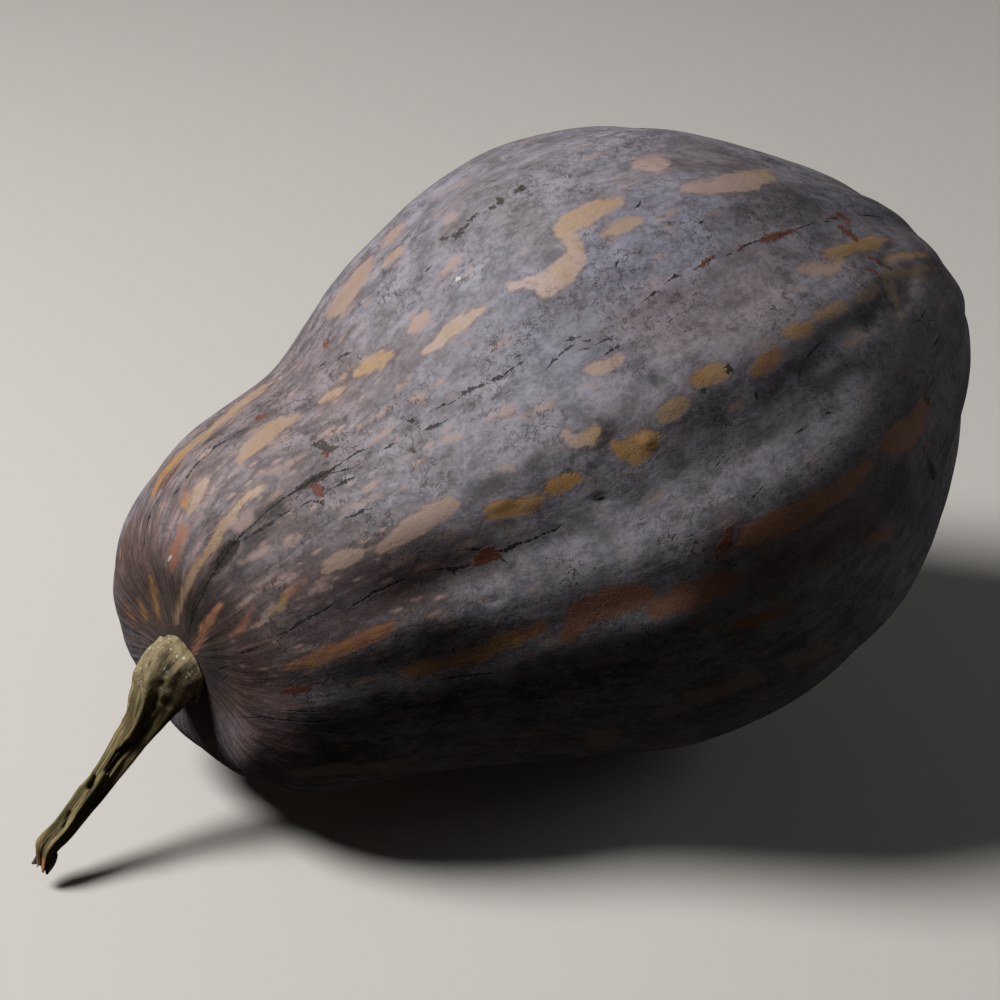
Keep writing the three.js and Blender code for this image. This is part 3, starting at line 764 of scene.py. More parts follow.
# A crack is a place across it, a place along it and a half width, in millimetres, at each face's corners
CRACK_REACH = 0.004
CRACK_SHIFT = 0.05
NO_CRACK = (FAR, 0, 0)
crack_lines = [crack_line(pixels) for region in CRACKS.values() for pixels in region]
quads = ring_quads(FRUIT_RINGS, FRUIT_SIDES)
corner_points = skin_points[quads]
centres = corner_points.mean(axis=1)
centre_outward = outward[quads[:, 0]]
nearest = np.full(len(quads), CRACK_REACH)
crack_map = np.full((len(quads), 4, 3), NO_CRACK, float)
for number, line in enumerate([*crack_lines, *hidden["cracks"]]):
    travelled = number * CRACK_SHIFT
    for first, second in zip(line[:-1], line[1:]):
        run = second[:3] - first[:3]
        length = np.linalg.norm(run)
        share = np.clip((centres - first[:3]) @ run / length ** 2, 0, 1)
        gap = np.linalg.norm(centres - first[:3] - share[:, None] * run, axis=1)
        mine = gap < nearest
        nearest[mine] = gap[mine]
        offset = corner_points[mine] - first[:3]
        share = offset @ run / length ** 2
        side = unit(np.cross(centre_outward[mine], run))
        across = np.einsum("fcx,fx->fc", offset, side)
        half = np.maximum(first[3] + (second[3] - first[3]) * share, 0)
        crack_map[mine] = np.stack([across, travelled + share * length, half], axis=-1) * MILLIMETRES
        travelled += length
end_corners = np.full((FRUIT_SIDES * 3, 3), NO_CRACK, float)
crack_map = np.concatenate([end_corners, crack_map.reshape(-1, 3), end_corners])
store(fruit, "crack", crack_map, "FLOAT_VECTOR", "CORNER")

BLOOM_PALE = (150, 147, 157)
BLOOM_DARK = (103, 101, 109)
BLOOM_BROWN = (112, 103, 102)
SOOT_AND_SHADE_BLACK = (44, 44, 45)
NET_BROWN = (72, 63, 62)
NECK_DARK = (78, 68, 66)
FLECK = (170, 145, 137)
STEM_END_DARK = (62, 55, 44)
STEM_END_RED = (132, 96, 86)
PATCH_TONES = [
    (0, (162, 141, 139)), (0.28, (166, 144, 131)), (0.52, (165, 140, 110)),
    (0.8, (174, 132, 76)), (0.92, (160, 114, 88)), (1, (154, 106, 86))]
PATCH_RIM = (120, 90, 88)
RUST_TONES = [(0, (74, 45, 38)), (0.5, (108, 64, 51)), (1, (140, 94, 74))]
SCAB_DARK = (52, 46, 42)
CRACK_DARK = (30, 25, 24)
PALE_SPECK = (205, 202, 190)


def paint(red, green, blue):
    """A colour as seen on a screen, from 0 to 255, in the linear values that a material takes."""
    shares = np.array([red, green, blue]) / 255
    return (*np.where(shares > 0.04045, ((shares + 0.055) / 1.055) ** 2.4, shares / 12.92), 1)


def plug(tree, node, inputs):
    """Gives each input of a node a value, or links another node's output to it."""
    for name, value in dict(inputs).items():
        if isinstance(value, bpy.types.NodeSocket):
            tree.links.new(value, node.inputs[name])
        else:
            node.inputs[name].default_value = value


def add_node(tree, kind, inputs=(), **settings):
    made = tree.nodes.new(kind)
    for name, value in settings.items():
        setattr(made, name, value)
    plug(tree, made, inputs)
    return made


def read(tree, name, output="Fac"):
    return add_node(tree, "ShaderNodeAttribute", attribute_name=name).outputs[output]


def calc(tree, operation, first, second=0.0):
    return add_node(tree, "ShaderNodeMath", {0: first, 1: second}, operation=operation).outputs[0]


def times(tree, first, second):
    return calc(tree, "MULTIPLY", first, second)


def plus(tree, first, second, share):
    """The first value and a share of the second."""
    return calc(tree, "ADD", first, times(tree, second, share))


def centred(tree, cloudy):
    """Noise from -0.5 to 0.5 instead of from 0 to 1."""
    return calc(tree, "SUBTRACT", cloudy, 0.5)


def fade(tree, value, start, end, low=0.0, high=1.0):
    """Goes smoothly from low to high as value goes from start to end."""
    inputs = {"Value": value, "From Min": start, "From Max": end, "To Min": low, "To Max": high}
    return add_node(tree, "ShaderNodeMapRange", inputs, interpolation_type="SMOOTHSTEP").outputs[0]


def mixed(tree, share, under, over, way="MIX"):
    made = add_node(tree, "ShaderNodeMix", {0: share, 6: under, 7: over}, data_type="RGBA", blend_type=way)
    return made.outputs[2]


def coated(tree, color, share, tone):
    """A colour under a coat of one tone, whose share comes and goes over the surface."""
    return mixed(tree, share, color, paint(*tone))


def ramp(tree, value, tones):
    made = add_node(tree, "ShaderNodeValToRGB", {"Fac": value})
    while len(made.color_ramp.elements) < len(tones):
        made.color_ramp.elements.new(0.5)
    for element, (place, color) in zip(made.color_ramp.elements, tones):
        element.position = place
        element.color = paint(*color)
    return made.outputs[0]


def noise(tree, vector, size, detail=3.0, roughness=0.55, distortion=0.0):
    """Cloudy noise whose blots are about size across, in the units of the vector."""
    inputs = {"Vector": vector, "Scale": 1 / size, "Detail": detail, "Roughness": roughness}
    inputs["Distortion"] = distortion
    return add_node(tree, "ShaderNodeTexNoise", inputs).outputs[0]


def stretched(tree, vector, factors=(1, 1, 1), shift=(0, 0, 0)):
    scaled = add_node(tree, "ShaderNodeVectorMath", {0: vector, 1: factors}, operation="MULTIPLY")
    moved = {0: scaled.outputs[0], 1: shift}
    return add_node(tree, "ShaderNodeVectorMath", moved, operation="ADD").outputs[0]


def place_in_millimetres(tree):
    return stretched(tree, add_node(tree, "ShaderNodeTexCoord").outputs["Object"], (MILLIMETRES,) * 3)


def blots(tree, place, factors, shift, look, edges):
    """A mask of stretched blots: noise of a look (size, detail, roughness), faded between its edges."""
    return fade(tree, noise(tree, stretched(tree, place, factors, shift), *look), *edges)


def speck_group():
    """Scattered specks for any material: cells of which those above a rate are picked, with soft edges."""
    group = bpy.data.node_groups.new("scattered_specks", "ShaderNodeTree")
    group.interface.new_socket("Place", in_out="INPUT", socket_type="NodeSocketVector")
    for name in ("Density", "Ragged", "Start", "End", "Rate"):
        group.interface.new_socket(name, in_out="INPUT", socket_type="NodeSocketFloat")
    group.interface.new_socket("Mask", in_out="OUTPUT", socket_type="NodeSocketFloat")
    given = add_node(group, "NodeGroupInput").outputs
    cells = add_node(group, "ShaderNodeTexVoronoi", {"Vector": given["Place"], "Scale": given["Density"]})
    pick = add_node(group, "ShaderNodeSeparateColor", {0: cells.outputs["Color"]}).outputs[0]
    edge = calc(group, "ADD", cells.outputs["Distance"], given["Ragged"])
    picked = calc(group, "GREATER_THAN", pick, given["Rate"])
    mask = times(group, fade(group, edge, given["Start"], given["End"]), picked)
    add_node(group, "NodeGroupOutput", {"Mask": mask})
    return group


scattered_specks = speck_group()


def specks(tree, place, size, ragged, edges, rate):
    inputs = {"Place": place, "Density": 1 / size, "Ragged": ragged, "Rate": rate}
    inputs["Start"], inputs["End"] = edges
    return add_node(tree, "ShaderNodeGroup", inputs, node_tree=scattered_specks).outputs["Mask"]


def new_material(name):
    material = bpy.data.materials.new(name)
    material.use_nodes = True
    return material, material.node_tree


def cover(piece, material, looks):
    """Puts a material on a piece, once the shader's inputs are known."""
    tree = material.node_tree
    plug(tree, tree.nodes["Principled BSDF"], looks)
    piece.data.materials.append(material)


def relief_of(tree, height, depth=1.0):
    """The surface's normal over heights in millimetres."""
    inputs = {"Height": height, "Strength": 1.0, "Distance": depth / MILLIMETRES}
    return add_node(tree, "ShaderNodeBump", inputs).outputs[0]


skin, tree = new_material("waxy_skin")
place = place_in_millimetres(tree)
skin_place = read(tree, "skin_map", "Vector")
lengthwise = stretched(tree, skin_place, (0.3, 1, 1))
clouds = noise(tree, place, 11, 4, 0.6, 0.4)
grain = noise(tree, place, 2.2, 5, 0.74)
streaks = noise(tree, lengthwise, 5, 3, 0.6, 0.3)

# The bloom: a thin wax in clouds, brushed along the fruit
bloom = plus(tree, times(tree, clouds, 0.40), grain, 0.35)
bloom = plus(tree, bloom, streaks, 0.25)
color = mixed(tree, fade(tree, bloom, 0.385, 0.6), paint(*BLOOM_DARK), paint(*BLOOM_PALE))
worn = fade(tree, noise(tree, lengthwise, 22, 3, 0.6), 0.5, 0.68, 0, 0.55)
color = coated(tree, color, worn, BLOOM_BROWN)
# The washes multiply the colour, and the painted shade among them darkens it
color = mixed(tree, 1.0, color, read(tree, "wash_and_shade", "Vector"), "MULTIPLY")

# Dark mottling and paler flecks, most on the neck, and fine dark lines like a net where the skin split
# and healed
from_stem_end = add_node(tree, "ShaderNodeSeparateXYZ", {0: skin_place}).outputs[0]
mottle = blots(tree, skin_place, (0.45, 1, 1), (70, 5, 0), (7, 5, 0.68), (0.46, 0.6))
mottle_share = times(tree, mottle, fade(tree, from_stem_end, 90, 250, 0.55, 0.12))
color = coated(tree, color, mottle_share, NECK_DARK)
fleck_rate = fade(tree, from_stem_end, 70, 230, 0.55, 0.86)
fleck_share = fade(tree, from_stem_end, 100, 240, 0.8, 0.5)
fleck_share = times(tree, fleck_share, fade(tree, from_stem_end, 30, 62, 0.15, 1))
for size, shift, length in [(4.2, 0, 0.45), (6.5, 37, 0.34)]:
    cells = stretched(tree, skin_place, (length, 1, 1), (shift, shift, 0))
    flecks = specks(tree, cells, size, times(tree, grain, 0.9), (0.88, 0.52), fleck_rate)
    color = coated(tree, color, times(tree, flecks, fleck_share), FLECK)
net_region = blots(tree, place, (1, 1, 1), (40, 7, 3), (26, 2, 0.5), (0.42, 0.62, 0.15, 1))
net_break = blots(tree, place, (1, 1, 1), (9, 70, 3), (3.0, 2, 0.5), (0.46, 0.58))
net = 0.0
for size, shift, width in [(9, 0, 0.010), (5, 31, 0.014), (13, 57, 0.006)]:
    line = noise(tree, stretched(tree, place, shift=(shift, shift, 0)), size, 2.5, 0.6, 1.6)
    off_line = calc(tree, "ABSOLUTE", centred(tree, line))
    net = calc(tree, "MAXIMUM", net, fade(tree, off_line, width * 1.6, width * 0.5))
net = times(tree, times(tree, net, net_break), net_region)
color = coated(tree, color, times(tree, net, 0.8), NET_BROWN)
brown_blots = blots(tree, skin_place, (0.6, 1, 1), (5, 90, 0), (6, 3, 0.6), (0.58, 0.68))
color = coated(tree, color, times(tree, brown_blots, 0.38), NET_BROWN)

# Fine lines of bare skin that run together at the stem
dark_lines = blots(tree, skin_place, (0.05, 1, 1), (0, 0, 0), (3.4, 2, 0.6), (0.42, 0.6))
dark_share = times(tree, dark_lines, fade(tree, from_stem_end, 58, 14, 0, 0.6))
color = coated(tree, color, dark_share, STEM_END_DARK)
red_lines = blots(tree, skin_place, (0.06, 1, 1), (0, 60, 9), (2.6, 3, 0.65), (0.56, 0.66))
red_share = times(tree, red_lines, fade(tree, from_stem_end, 105, 45, 0, 0.6))
color = coated(tree, color, red_share, STEM_END_RED)

# Soot and painted shade in the furrows and folds, broken up by the grain
soot_and_shade_share = times(tree, read(tree, "soot_and_shade"), fade(tree, bloom, 0.62, 0.40, 0.35, 1.25))
color = coated(tree, color, soot_and_shade_share, SOOT_AND_SHADE_BLACK)

# Patches without bloom
ragged = centred(tree, noise(tree, lengthwise, 3.2, 3, 0.6))
coarse_ragged = centred(tree, noise(tree, place, 7, 3, 0.6))
patch_gap = plus(tree, plus(tree, read(tree, "patch"), ragged, 5.5), coarse_ragged, 2.6)
blurred_gap = plus(tree, read(tree, "blurred"), coarse_ragged, 5.0)
patch_color = ramp(tree, plus(tree, read(tree, "tone"), coarse_ragged, 0.5), PATCH_TONES)
patch_color = coated(tree, patch_color, fade(tree, grain, 0.5, 0.75, 0, 0.25), PATCH_RIM)
color = coated(tree, color, fade(tree, patch_gap, 2.6, 0.2, 0, 0.18), PATCH_RIM)
color = mixed(tree, fade(tree, blurred_gap, 1.3, -1.3, 0, 0.86), color, patch_color)
patch_mask = fade(tree, patch_gap, 1.0, -0.8)
color = mixed(tree, times(tree, patch_mask, 0.94), color, patch_color)

# Scabs, rust and specks
fine_ragged = centred(tree, noise(tree, place, 1.6, 3, 0.7))
scab_mask = fade(tree, plus(tree, read(tree, "scab"), fine_ragged, 3.6), 0.2, -0.2)
color = coated(tree, color, times(tree, scab_mask, 0.92), SCAB_DARK)
rust_mask = fade(tree, plus(tree, read(tree, "rust"), fine_ragged, 4.2), 0.5, -0.3)
color = mixed(tree, rust_mask, color, ramp(tree, grain, RUST_TONES))
speck_mask = fade(tree, plus(tree, read(tree, "speck"), fine_ragged, 1.5), 0.2, -0.2)
color = coated(tree, color, times(tree, speck_mask, 0.85), PALE_SPECK)

# Cracks, whose edges wander and whose width comes and goes
crack = add_node(tree, "ShaderNodeSeparateXYZ", {0: read(tree, "crack", "Vector")}).outputs
wander = noise(tree, add_node(tree, "ShaderNodeCombineXYZ", {0: crack[1]}).outputs[0], 1.8, 3, 0.7)
across = calc(tree, "ABSOLUTE", plus(tree, crack[0], centred(tree, wander), 1.1))
breaks = noise(tree, add_node(tree, "ShaderNodeCombineXYZ", {0: crack[1], 1: 50.0}).outputs[0], 1.1, 2, 0.6)
crack_width = times(tree, crack[2], fade(tree, breaks, 0.34, 0.62, 0.15, 1.45))
crack_gap = plus(tree, calc(tree, "SUBTRACT", across, crack_width), fine_ragged, 0.5)
open_crack = calc(tree, "GREATER_THAN", crack[2], 0.02)
crack_mask = times(tree, fade(tree, crack_gap, 0.12, -0.1), open_crack)
crack_dark = times(tree, crack_mask, calc(tree, "SUBTRACT", 1.0, times(tree, rust_mask, 0.75)))
color = coated(tree, color, times(tree, crack_dark, 0.92), CRACK_DARK)

# Heights in millimetres: grain, net and cracks sink, crusts stand up
height = plus(tree, times(tree, grain, 0.16), clouds, 0.35)
for mark, mark_height in [
        (streaks, 0.16), (net, -0.12), (crack_mask, -0.45), (patch_mask, -0.06), (rust_mask, 0.12),
        (scab_mask, 0.10), (speck_mask, 0.2)]:
    height = plus(tree, height, mark, mark_height)
cover(fruit, skin, {
    "Base Color": color,
    "Roughness": fade(tree, patch_gap, 0.5, -0.5, 0.66, 0.5),
    "Normal": relief_of(tree, height),
    "Specular IOR Level": 0.35,
})
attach(fruit, "root")
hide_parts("fruit")

# The stem. A dry woody stalk with five ridges, grown out of the fruit's seat in a dusty knobbly collar. It
# bends down to the tip, where it was torn off and a few fibres still hang.
STEM_LINE = 0.001 * np.array([
    [0, 0, 0], [-6, -1.5, -3.5], [-12, -3, -12], [-18, -4.2, -20], [-27, -6, -27.5],
    [-36.5, -7.7, -36], [-47, -9.6, -44.5], [-57.3, -11.8, -52], [-64.5, -13.1, -56.5], [-67, -14.6, -62]])
STEM_RADIUS = 0.0051
STEM_TAPER = 0.24
STEM_FLARE = 0.0118
FLARE_REACH = 0.0155
SQUARE_REACH = 0.0105
LIP_DROP = {"share": 0.5, "reach": 0.010}
KNUCKLE = {"share": 0.36, "middle": 0.015, "reach": 0.011}
COLLAR_SAG = {"left": 0.0066, "down": 0.0032, "reach": 0.013}
RIDGES_AND_RIPPLES = [(0.15, 5, 0), (0.05, 10, 0.6), (0.04, 3, 1)]
RIDGE_TWIST = 0.9
COLLAR_REACH = 0.022
RIDGES_LOST_IN_COLLAR = 0.85
SEAT_GAP = 0.00035
TORN_TIP = {"length": 0.007, "thinning": 0.45, "slant": 0.0032, "hollow": 0.002}
STEM_LINE_STEPS = 60
STEM_RINGS = 230
RING_CROWDING = 1.15
STEM_SIDES = 110
STEM_GRAZING = (0.0, 0.2)
STEM_MAP_RADIUS = 0.008
GRAIN_STRETCH = np.array([0.12, 1, 1])
STEM_GRAIN = [(0.00014, 0.0011, 31), (0.0003, 0.003, 32)]
COLLAR_KNOBS = [(0.0008, 0.006, 33), (0.0003, 0.0025, 34)]
SPLINTER = 0.0015
STEM_DENTS = {
    "slot": (0.0020, 2.5, [(128, 745, 1), (118, 755, 3), (107, 771, 1)]),
    "hole": (0.0024, 2.0, [(92, 776, 1), (89, 785, 2)]),
    "slit": (0.0012, 1.5, [(70, 813, 1), (64, 827, 0.5)]),
    "collar pit": (0.0006, 2.5, [(164, 684, 1), (166, 688, 1)]),
    "collar pit, left": (0.0006, 2.0, [(152, 704, 1), (154, 708, 1)]),
    "collar pit, low": (0.0009, 2.0, [(165, 702, 1), (168, 706, 1)]),
    "collar ridge": (-0.0009, 5.0, [(160, 654, 2), (153, 672, 2), (147, 694, 2)]),
    "collar groove": (0.0003, 3.5, [(172, 668, 1), (166, 690, 1), (150, 716, 1)]),
    "collar edge": (-0.0008, 4.0, [(186, 664, 2), (198, 682, 2)]),
    "long groove": (0.0008, 2.5, [(118, 722, 0.5), (104, 748, 1), (84, 784, 0.5)]),
    "long groove, low": (0.0007, 2.0, [(100, 790, 0.5), (80, 815, 0.5)]),
}


def smooth_line(knots, steps):
    """Points along the centripetal Catmull-Rom curve through the knots."""
    knots = np.concatenate([[2 * knots[0] - knots[1]], knots, [2 * knots[-1] - knots[-2]]])
    line = []
    for a, b, c, d in zip(knots[:-3], knots[1:-2], knots[2:-1], knots[3:]):
        before, span, after = (math.sqrt(np.linalg.norm(q - p)) for p, q in [(a, b), (b, c), (c, d)])
        leave = ((b - a) / before - (c - a) / (before + span) + (c - b) / span) * span
        arrive = ((c - b) / span - (d - b) / (span + after) + (d - c) / after) * span
        t = np.arange(steps)[:, None] / steps
        square = -3 * b + 3 * c - 2 * leave - arrive
        line.append(b + leave * t + square * t ** 2 + (2 * b - 2 * c + leave + arrive) * t ** 3)
    return np.concatenate([*line, knots[-2:-1]])


def at_lengths(line, wanted):
    """Points and directions at distances along a line."""
    lengths = np.concatenate([[0], np.cumsum(np.linalg.norm(np.diff(line, axis=0), axis=1))])
    directions = unit(np.gradient(line, lengths, axis=0))
    points, ways = (
        np.stack([np.interp(wanted, lengths, part[:, k]) for k in range(3)], axis=1)
        for part in (line, directions))
    return points, unit(ways), lengths[-1]


seat_forward, _, seat_front = (row[0] for row in axis_frame(np.zeros(1)))
seat = fruit_points(np.zeros(1), np.zeros(1))[0] - seat_forward * SEAT_GAP
stem_curve = smooth_line(STEM_LINE, STEM_LINE_STEPS)
stem_length = at_lengths(stem_curve, np.zeros(1))[2]
stem_share = np.linspace(0, 1, STEM_RINGS) ** RING_CROWDING
distance = stem_share * stem_length
middle, direction, _ = at_lengths(stem_curve, distance)
upright = smooth_step(distance, 0, SQUARE_REACH)[:, None]
direction = unit(direction * upright - seat_forward * (1 - upright))
side_way = unit(seat_front - direction * (direction @ seat_front)[:, None])
over_way = np.cross(direction, side_way)
torn = smooth_step(distance, stem_length - TORN_TIP["length"], stem_length)
stem_radius = STEM_RADIUS * (1 - STEM_TAPER * stem_share) + STEM_FLARE * np.exp(-distance / FLARE_REACH)
stem_radius *= 1 - TORN_TIP["thinning"] * torn

stem_turn = 2 * math.pi * np.arange(STEM_SIDES) / STEM_SIDES
ring, side = np.divmod(np.arange(STEM_RINGS * STEM_SIDES), STEM_SIDES)
spin = stem_turn[side]
twisted = spin + RIDGE_TWIST * stem_share[ring]
ridges = np.zeros(len(twisted))
for share, waves, start in RIDGES_AND_RIPPLES:
    ridges += share * np.cos(waves * twisted + start)
ridges *= 1 - RIDGES_LOST_IN_COLLAR * bell(distance[ring], COLLAR_REACH)
stem_outward = side_way[ring] * np.cos(spin)[:, None] + over_way[ring] * np.sin(spin)[:, None]
round_way = STEM_MAP_RADIUS * np.stack([np.cos(twisted), np.sin(twisted)], axis=1)
stem_map = np.concatenate([distance[ring][:, None], round_way], axis=1)
along_grain = stem_map * GRAIN_STRETCH
near_seat = np.exp(-distance[ring] / COLLAR_REACH)
stem_rise = np.zeros(len(ring))
for height, size, seed in STEM_GRAIN:
    stem_rise += height * unevenness(along_grain, size, seed)
for height, size, seed in COLLAR_KNOBS:
    stem_rise += height * near_seat * unevenness(stem_map, size, seed)
high_side = np.clip(stem_outward @ np.array(view_up), 0, 1)
low_side = np.clip(stem_outward @ np.array(view_right * 0.5 - view_up * 0.86), 0, 1)
lip = LIP_DROP["share"] * high_side * np.exp(-distance[ring] / LIP_DROP["reach"])
knuckle = KNUCKLE["share"] * low_side * bell(distance[ring] - KNUCKLE["middle"], KNUCKLE["reach"])
ridges += knuckle - lip
stem_width = stem_radius[ring] * (1 + ridges) + stem_rise
stem_points = seat + middle[ring] + stem_outward * stem_width[:, None]
sag = np.array(-view_right * COLLAR_SAG["left"] - view_up * COLLAR_SAG["down"])
sag = sag - seat_forward * (sag @ seat_forward)
stem_points += sag * np.exp(-distance[ring] / COLLAR_SAG["reach"])[:, None]
slant = TORN_TIP["slant"] * np.sin(spin + 1) * 0.5 + SPLINTER * unevenness(stem_outward, 0.5, 35)
stem_points += direction[ring] * (torn[ring] * slant)[:, None]
stem_spots = photo_spots(stem_points)
stem_facing = np.einsum("ij,ij->i", stem_outward, unit(np.array(eye) - stem_points))
stem_shown = smooth_step(stem_facing, *STEM_GRAZING)
stem_depth = np.zeros(len(stem_points))
for depth, softness, stroke in STEM_DENTS.values():
    stem_depth += depth * stroke_share(stem_spots, stroke, softness) * stem_shown
stem_points -= stem_outward * stem_depth[:, None]
stem_points[:, 2] = np.maximum(stem_points[:, 2], 0)
tip = seat + middle[-1] - direction[-1] * TORN_TIP["hollow"]
stem_points = np.concatenate([[seat], stem_points, [tip]])
stem = new_piece("stem_wood", stem_points, ring_faces(STEM_RINGS, STEM_SIDES))
stem_map = np.concatenate([stem_map[:1], stem_map, stem_map[-1:]])
store(stem, "stem_map", stem_map * MILLIMETRES, "FLOAT_VECTOR")
store(stem, "dent", np.concatenate([[0], stem_depth, [0.001]]) * MILLIMETRES)
store(stem, "torn", np.concatenate([[0], torn[ring], [1]]))

STEM_TONES = [(0.0, (52, 45, 27)), (0.4, (100, 90, 57)), (0.62, (132, 117, 78)), (1.0, (172, 156, 118))]
STEM_GREEN = (92, 94, 54)
STEM_DARK = (40, 32, 22)
COLLAR_DUST = (150, 137, 108)
COLLAR_SPECK = (205, 204, 190)
TORN_WOOD = [(0.0, (92, 56, 32)), (0.5, (176, 128, 82)), (1.0, (214, 186, 146))]

stem_wood, tree = new_material("dry_stem")
stem_place = read(tree, "stem_map", "Vector")
fibers = noise(tree, stretched(tree, stem_place, (0.10, 1, 1)), 1.3, 5, 0.72, 0.3)
bands = noise(tree, stretched(tree, stem_place, (0.22, 1, 1)), 5, 3, 0.6)
crumbs = noise(tree, stem_place, 1.6, 4, 0.7)
from_seat = add_node(tree, "ShaderNodeSeparateXYZ", {0: stem_place}).outputs[0]
collar = fade(tree, plus(tree, from_seat, crumbs, 14.0), 30, 14)
blotches = noise(tree, stem_place, 5.5, 5, 0.68, 0.6)
wood = plus(tree, times(tree, fibers, 0.6), bands, 0.4)
to_blotches = times(tree, calc(tree, "SUBTRACT", blotches, wood), times(tree, collar, 0.8))
wood = calc(tree, "ADD", wood, to_blotches)
color = ramp(tree, fade(tree, wood, 0.34, 0.66), STEM_TONES)
green_share = blots(tree, stem_place, (0.3, 1, 1), (3, 20, 1), (7, 3, 0.6), (0.5, 0.66, 0, 0.55))
color = coated(tree, color, green_share, STEM_GREEN)
dust_share = times(tree, collar, fade(tree, crumbs, 0.36, 0.6, 0.15, 0.8))
color = coated(tree, color, dust_share, COLLAR_DUST)
dust_specks = specks(tree, stem_place, 1.1, 0.0, (0.34, 0.2), 0.7)
color = coated(tree, color, times(tree, dust_specks, collar), COLLAR_SPECK)
dark_lines = blots(tree, stem_place, (0.09, 1, 1), (7, 1, 40), (2.6, 3, 0.6), (0.60, 0.68))
dark_lines = times(tree, dark_lines, calc(tree, "SUBTRACT", 1.0, collar))
# Painted shade in the deepest dents: the slot, the hole and the slit are darkened with the stem's dark tone
dent_shade = fade(tree, read(tree, "dent"), 0.9, 1.9)
color = coated(tree, color, calc(tree, "MAXIMUM", times(tree, dark_lines, 0.55), dent_shade), STEM_DARK)
torn_mask = fade(tree, plus(tree, read(tree, "torn"), fibers, 0.6), 0.72, 0.98)
color = mixed(tree, torn_mask, color, ramp(tree, fibers, TORN_WOOD))
height = plus(tree, plus(tree, times(tree, fibers, 0.35), crumbs, 0.4), dark_lines, -0.3)
cover(stem, stem_wood, {
    "Base Color": color,
    "Roughness": 0.8,
    "Normal": relief_of(tree, height),
    "Specular IOR Level": 0.3,
})
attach(stem, "root")
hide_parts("stem")

# The torn fibres. Flat dry strands of the stem's own wood, which hang from its torn tip. Each is rooted
# inside the stem, and its line is given in pixels of the photograph (right, down, half width) from the tip.
HANGING_FIBERS = [
    [(8, -9, 4), (8, -2, 6), (6, 6, 5.5), (4, 12, 4), (3, 17, 1)],
    [(-2, -6, 4), (-4, 0, 4.5), (-8, 4, 3.5), (-12, 6, 1)],
    [(2, -6, 4), (1, 2, 4), (-1, 8, 2.4)],
]
FIBER_FLATNESS = 0.35
FIBER_LINE_STEPS = 20
FIBER_SIDES = 6
FIBER_STEPS = 14
FIBER_TONES = [(0.0, (40, 38, 38)), (0.55, (88, 84, 82)), (1.0, (182, 180, 176))]

fiber_points = []
fiber_faces = []
spins = 2 * math.pi * np.arange(FIBER_SIDES) / FIBER_SIDES
for strand in HANGING_FIBERS:
    right, down, half_widths = (PIXEL * np.array(column)[:, None] for column in zip(*strand))
    knots = tip + right * np.array(view_right) - down * np.array(view_up)
    line = smooth_line(knots, FIBER_LINE_STEPS)
    length = at_lengths(line, np.zeros(1))[2]
    middles, ways, _ = at_lengths(line, np.linspace(0, length, FIBER_STEPS))
    knot_places = np.linspace(0, 1, len(strand))
    widths = np.interp(np.linspace(0, 1, FIBER_STEPS), knot_places, half_widths[:, 0])
    flat = unit(np.cross(ways, np.array(view_back)))
    thick = FIBER_FLATNESS * np.cross(ways, flat)
    across = flat[:, None] * np.cos(spins)[:, None] + thick[:, None] * np.sin(spins)[:, None]
    rings = middles[:, None] + widths[:, None, None] * across
    start = len(fiber_points)
    fiber_points += [middles[0], *rings.reshape(-1, 3), middles[-1]]
    fiber_faces += [[start + corner for corner in face] for face in ring_faces(FIBER_STEPS, FIBER_SIDES)]
fiber_piece = new_piece("torn_fibers", np.array(fiber_points), fiber_faces)

dry_fiber, tree = new_material("dry_fiber")
fiber_tone = noise(tree, place_in_millimetres(tree), 1.4, 4, 0.7)
cover(fiber_piece, dry_fiber, {
    "Base Color": ramp(tree, fade(tree, fiber_tone, 0.35, 0.68), FIBER_TONES),
    "Roughness": 0.85,
    "Normal": relief_of(tree, fiber_tone, 0.4),
})
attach(fiber_piece, "root")

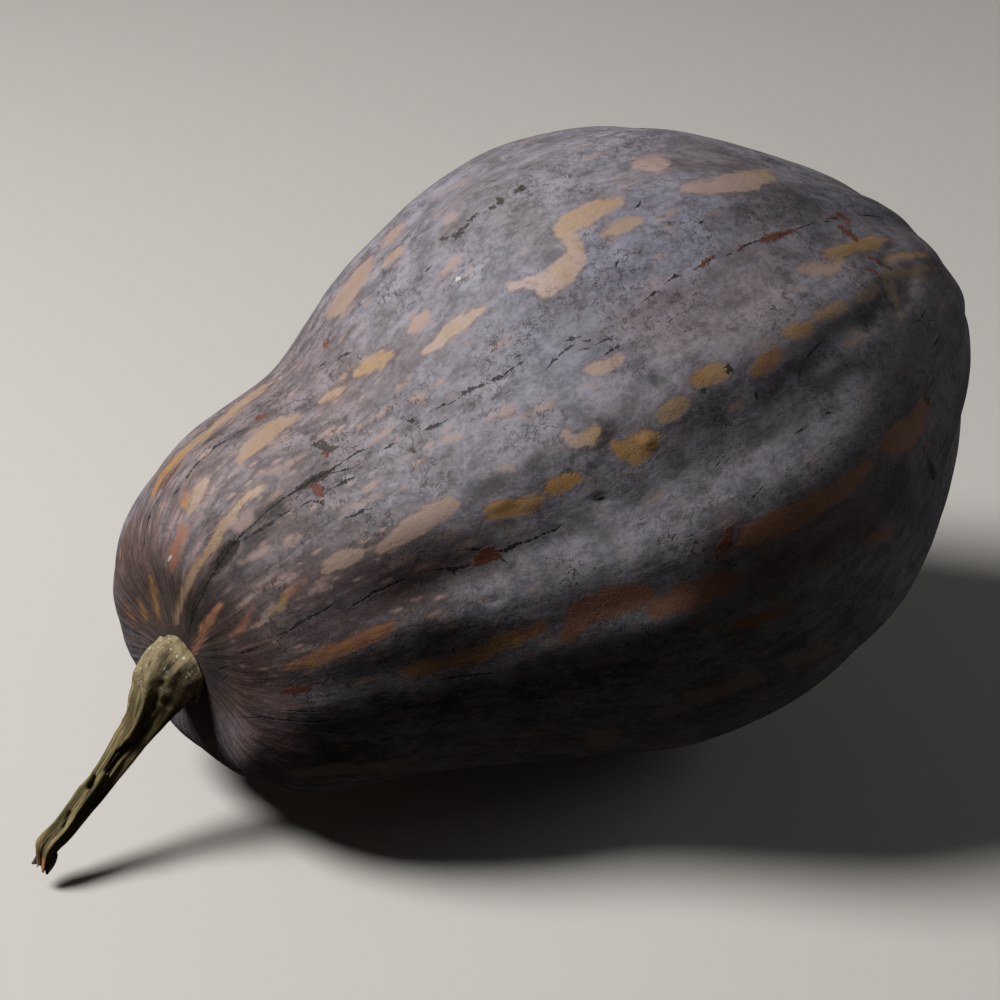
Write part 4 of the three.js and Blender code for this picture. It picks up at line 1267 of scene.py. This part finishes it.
# The floor and the light. A wide pale floor, one large soft lamp high on the stem side, a weak one that
# fills the shade at the blossom end, and a dim room round them.
FLOOR_HALF = 6.0
FLOOR_COLOR = (205, 203, 199)
LAMPS = {
    "fill": {"way": (0.93, -0.2, 0.3), "distance": 1.6, "size": 0.9, "power": 2.2, "color": (1, 1, 1)},
    "lamp": {
        "way": (-0.536, 0.322, 0.78), "distance": 1.8, "size": 0.74, "power": 40,
        "color": (1.0, 0.975, 0.95)},
}
ROOM_COLOR = (0.024, 0.021, 0.018, 1)
BACKDROP_COLOR = (0.62, 0.61, 0.59, 1)

corners = FLOOR_HALF * np.array([[-1, -1, 0], [1, -1, 0], [1, 1, 0], [-1, 1, 0]])
floor = new_piece("floor", corners, [[0, 1, 2, 3]])
floor_paint, _ = new_material("floor_paint")
cover(floor, floor_paint, {"Base Color": paint(*FLOOR_COLOR), "Roughness": 0.9})
floor.visible_diffuse = False
floor.visible_glossy = False


def soft_lamp(name, way, distance, size, power, color):
    """A round lamp that stands some way from the middle of the view and shines on it."""
    light = bpy.data.lights.new(name, "AREA")
    light.shape = "DISK"
    light.size = size
    light.energy = power
    light.color = color
    lamp = bpy.data.objects.new(name, light)
    lamp.location = VIEW_MIDDLE + Vector(way).normalized() * distance
    lamp.rotation_euler = Vector(way).to_track_quat("Z", "Y").to_euler()
    bpy.context.scene.collection.objects.link(lamp)


for name, settings in LAMPS.items():
    soft_lamp(name, **settings)

room = bpy.data.worlds.new("room")
room.use_nodes = True
room_tree = room.node_tree
dim_room = room_tree.nodes["Background"]
dim_room.inputs["Color"].default_value = ROOM_COLOR
backdrop = add_node(room_tree, "ShaderNodeBackground", {"Color": BACKDROP_COLOR})
camera_ray = add_node(room_tree, "ShaderNodeLightPath").outputs["Is Camera Ray"]
room_mix = {0: camera_ray, 1: dim_room.outputs[0], 2: backdrop.outputs[0]}
shown_room = add_node(room_tree, "ShaderNodeMixShader", room_mix)
room_tree.links.new(shown_room.outputs[0], room_tree.nodes["World Output"].inputs["Surface"])
bpy.context.scene.world = room
bpy.context.scene.view_settings.view_transform = "Standard"
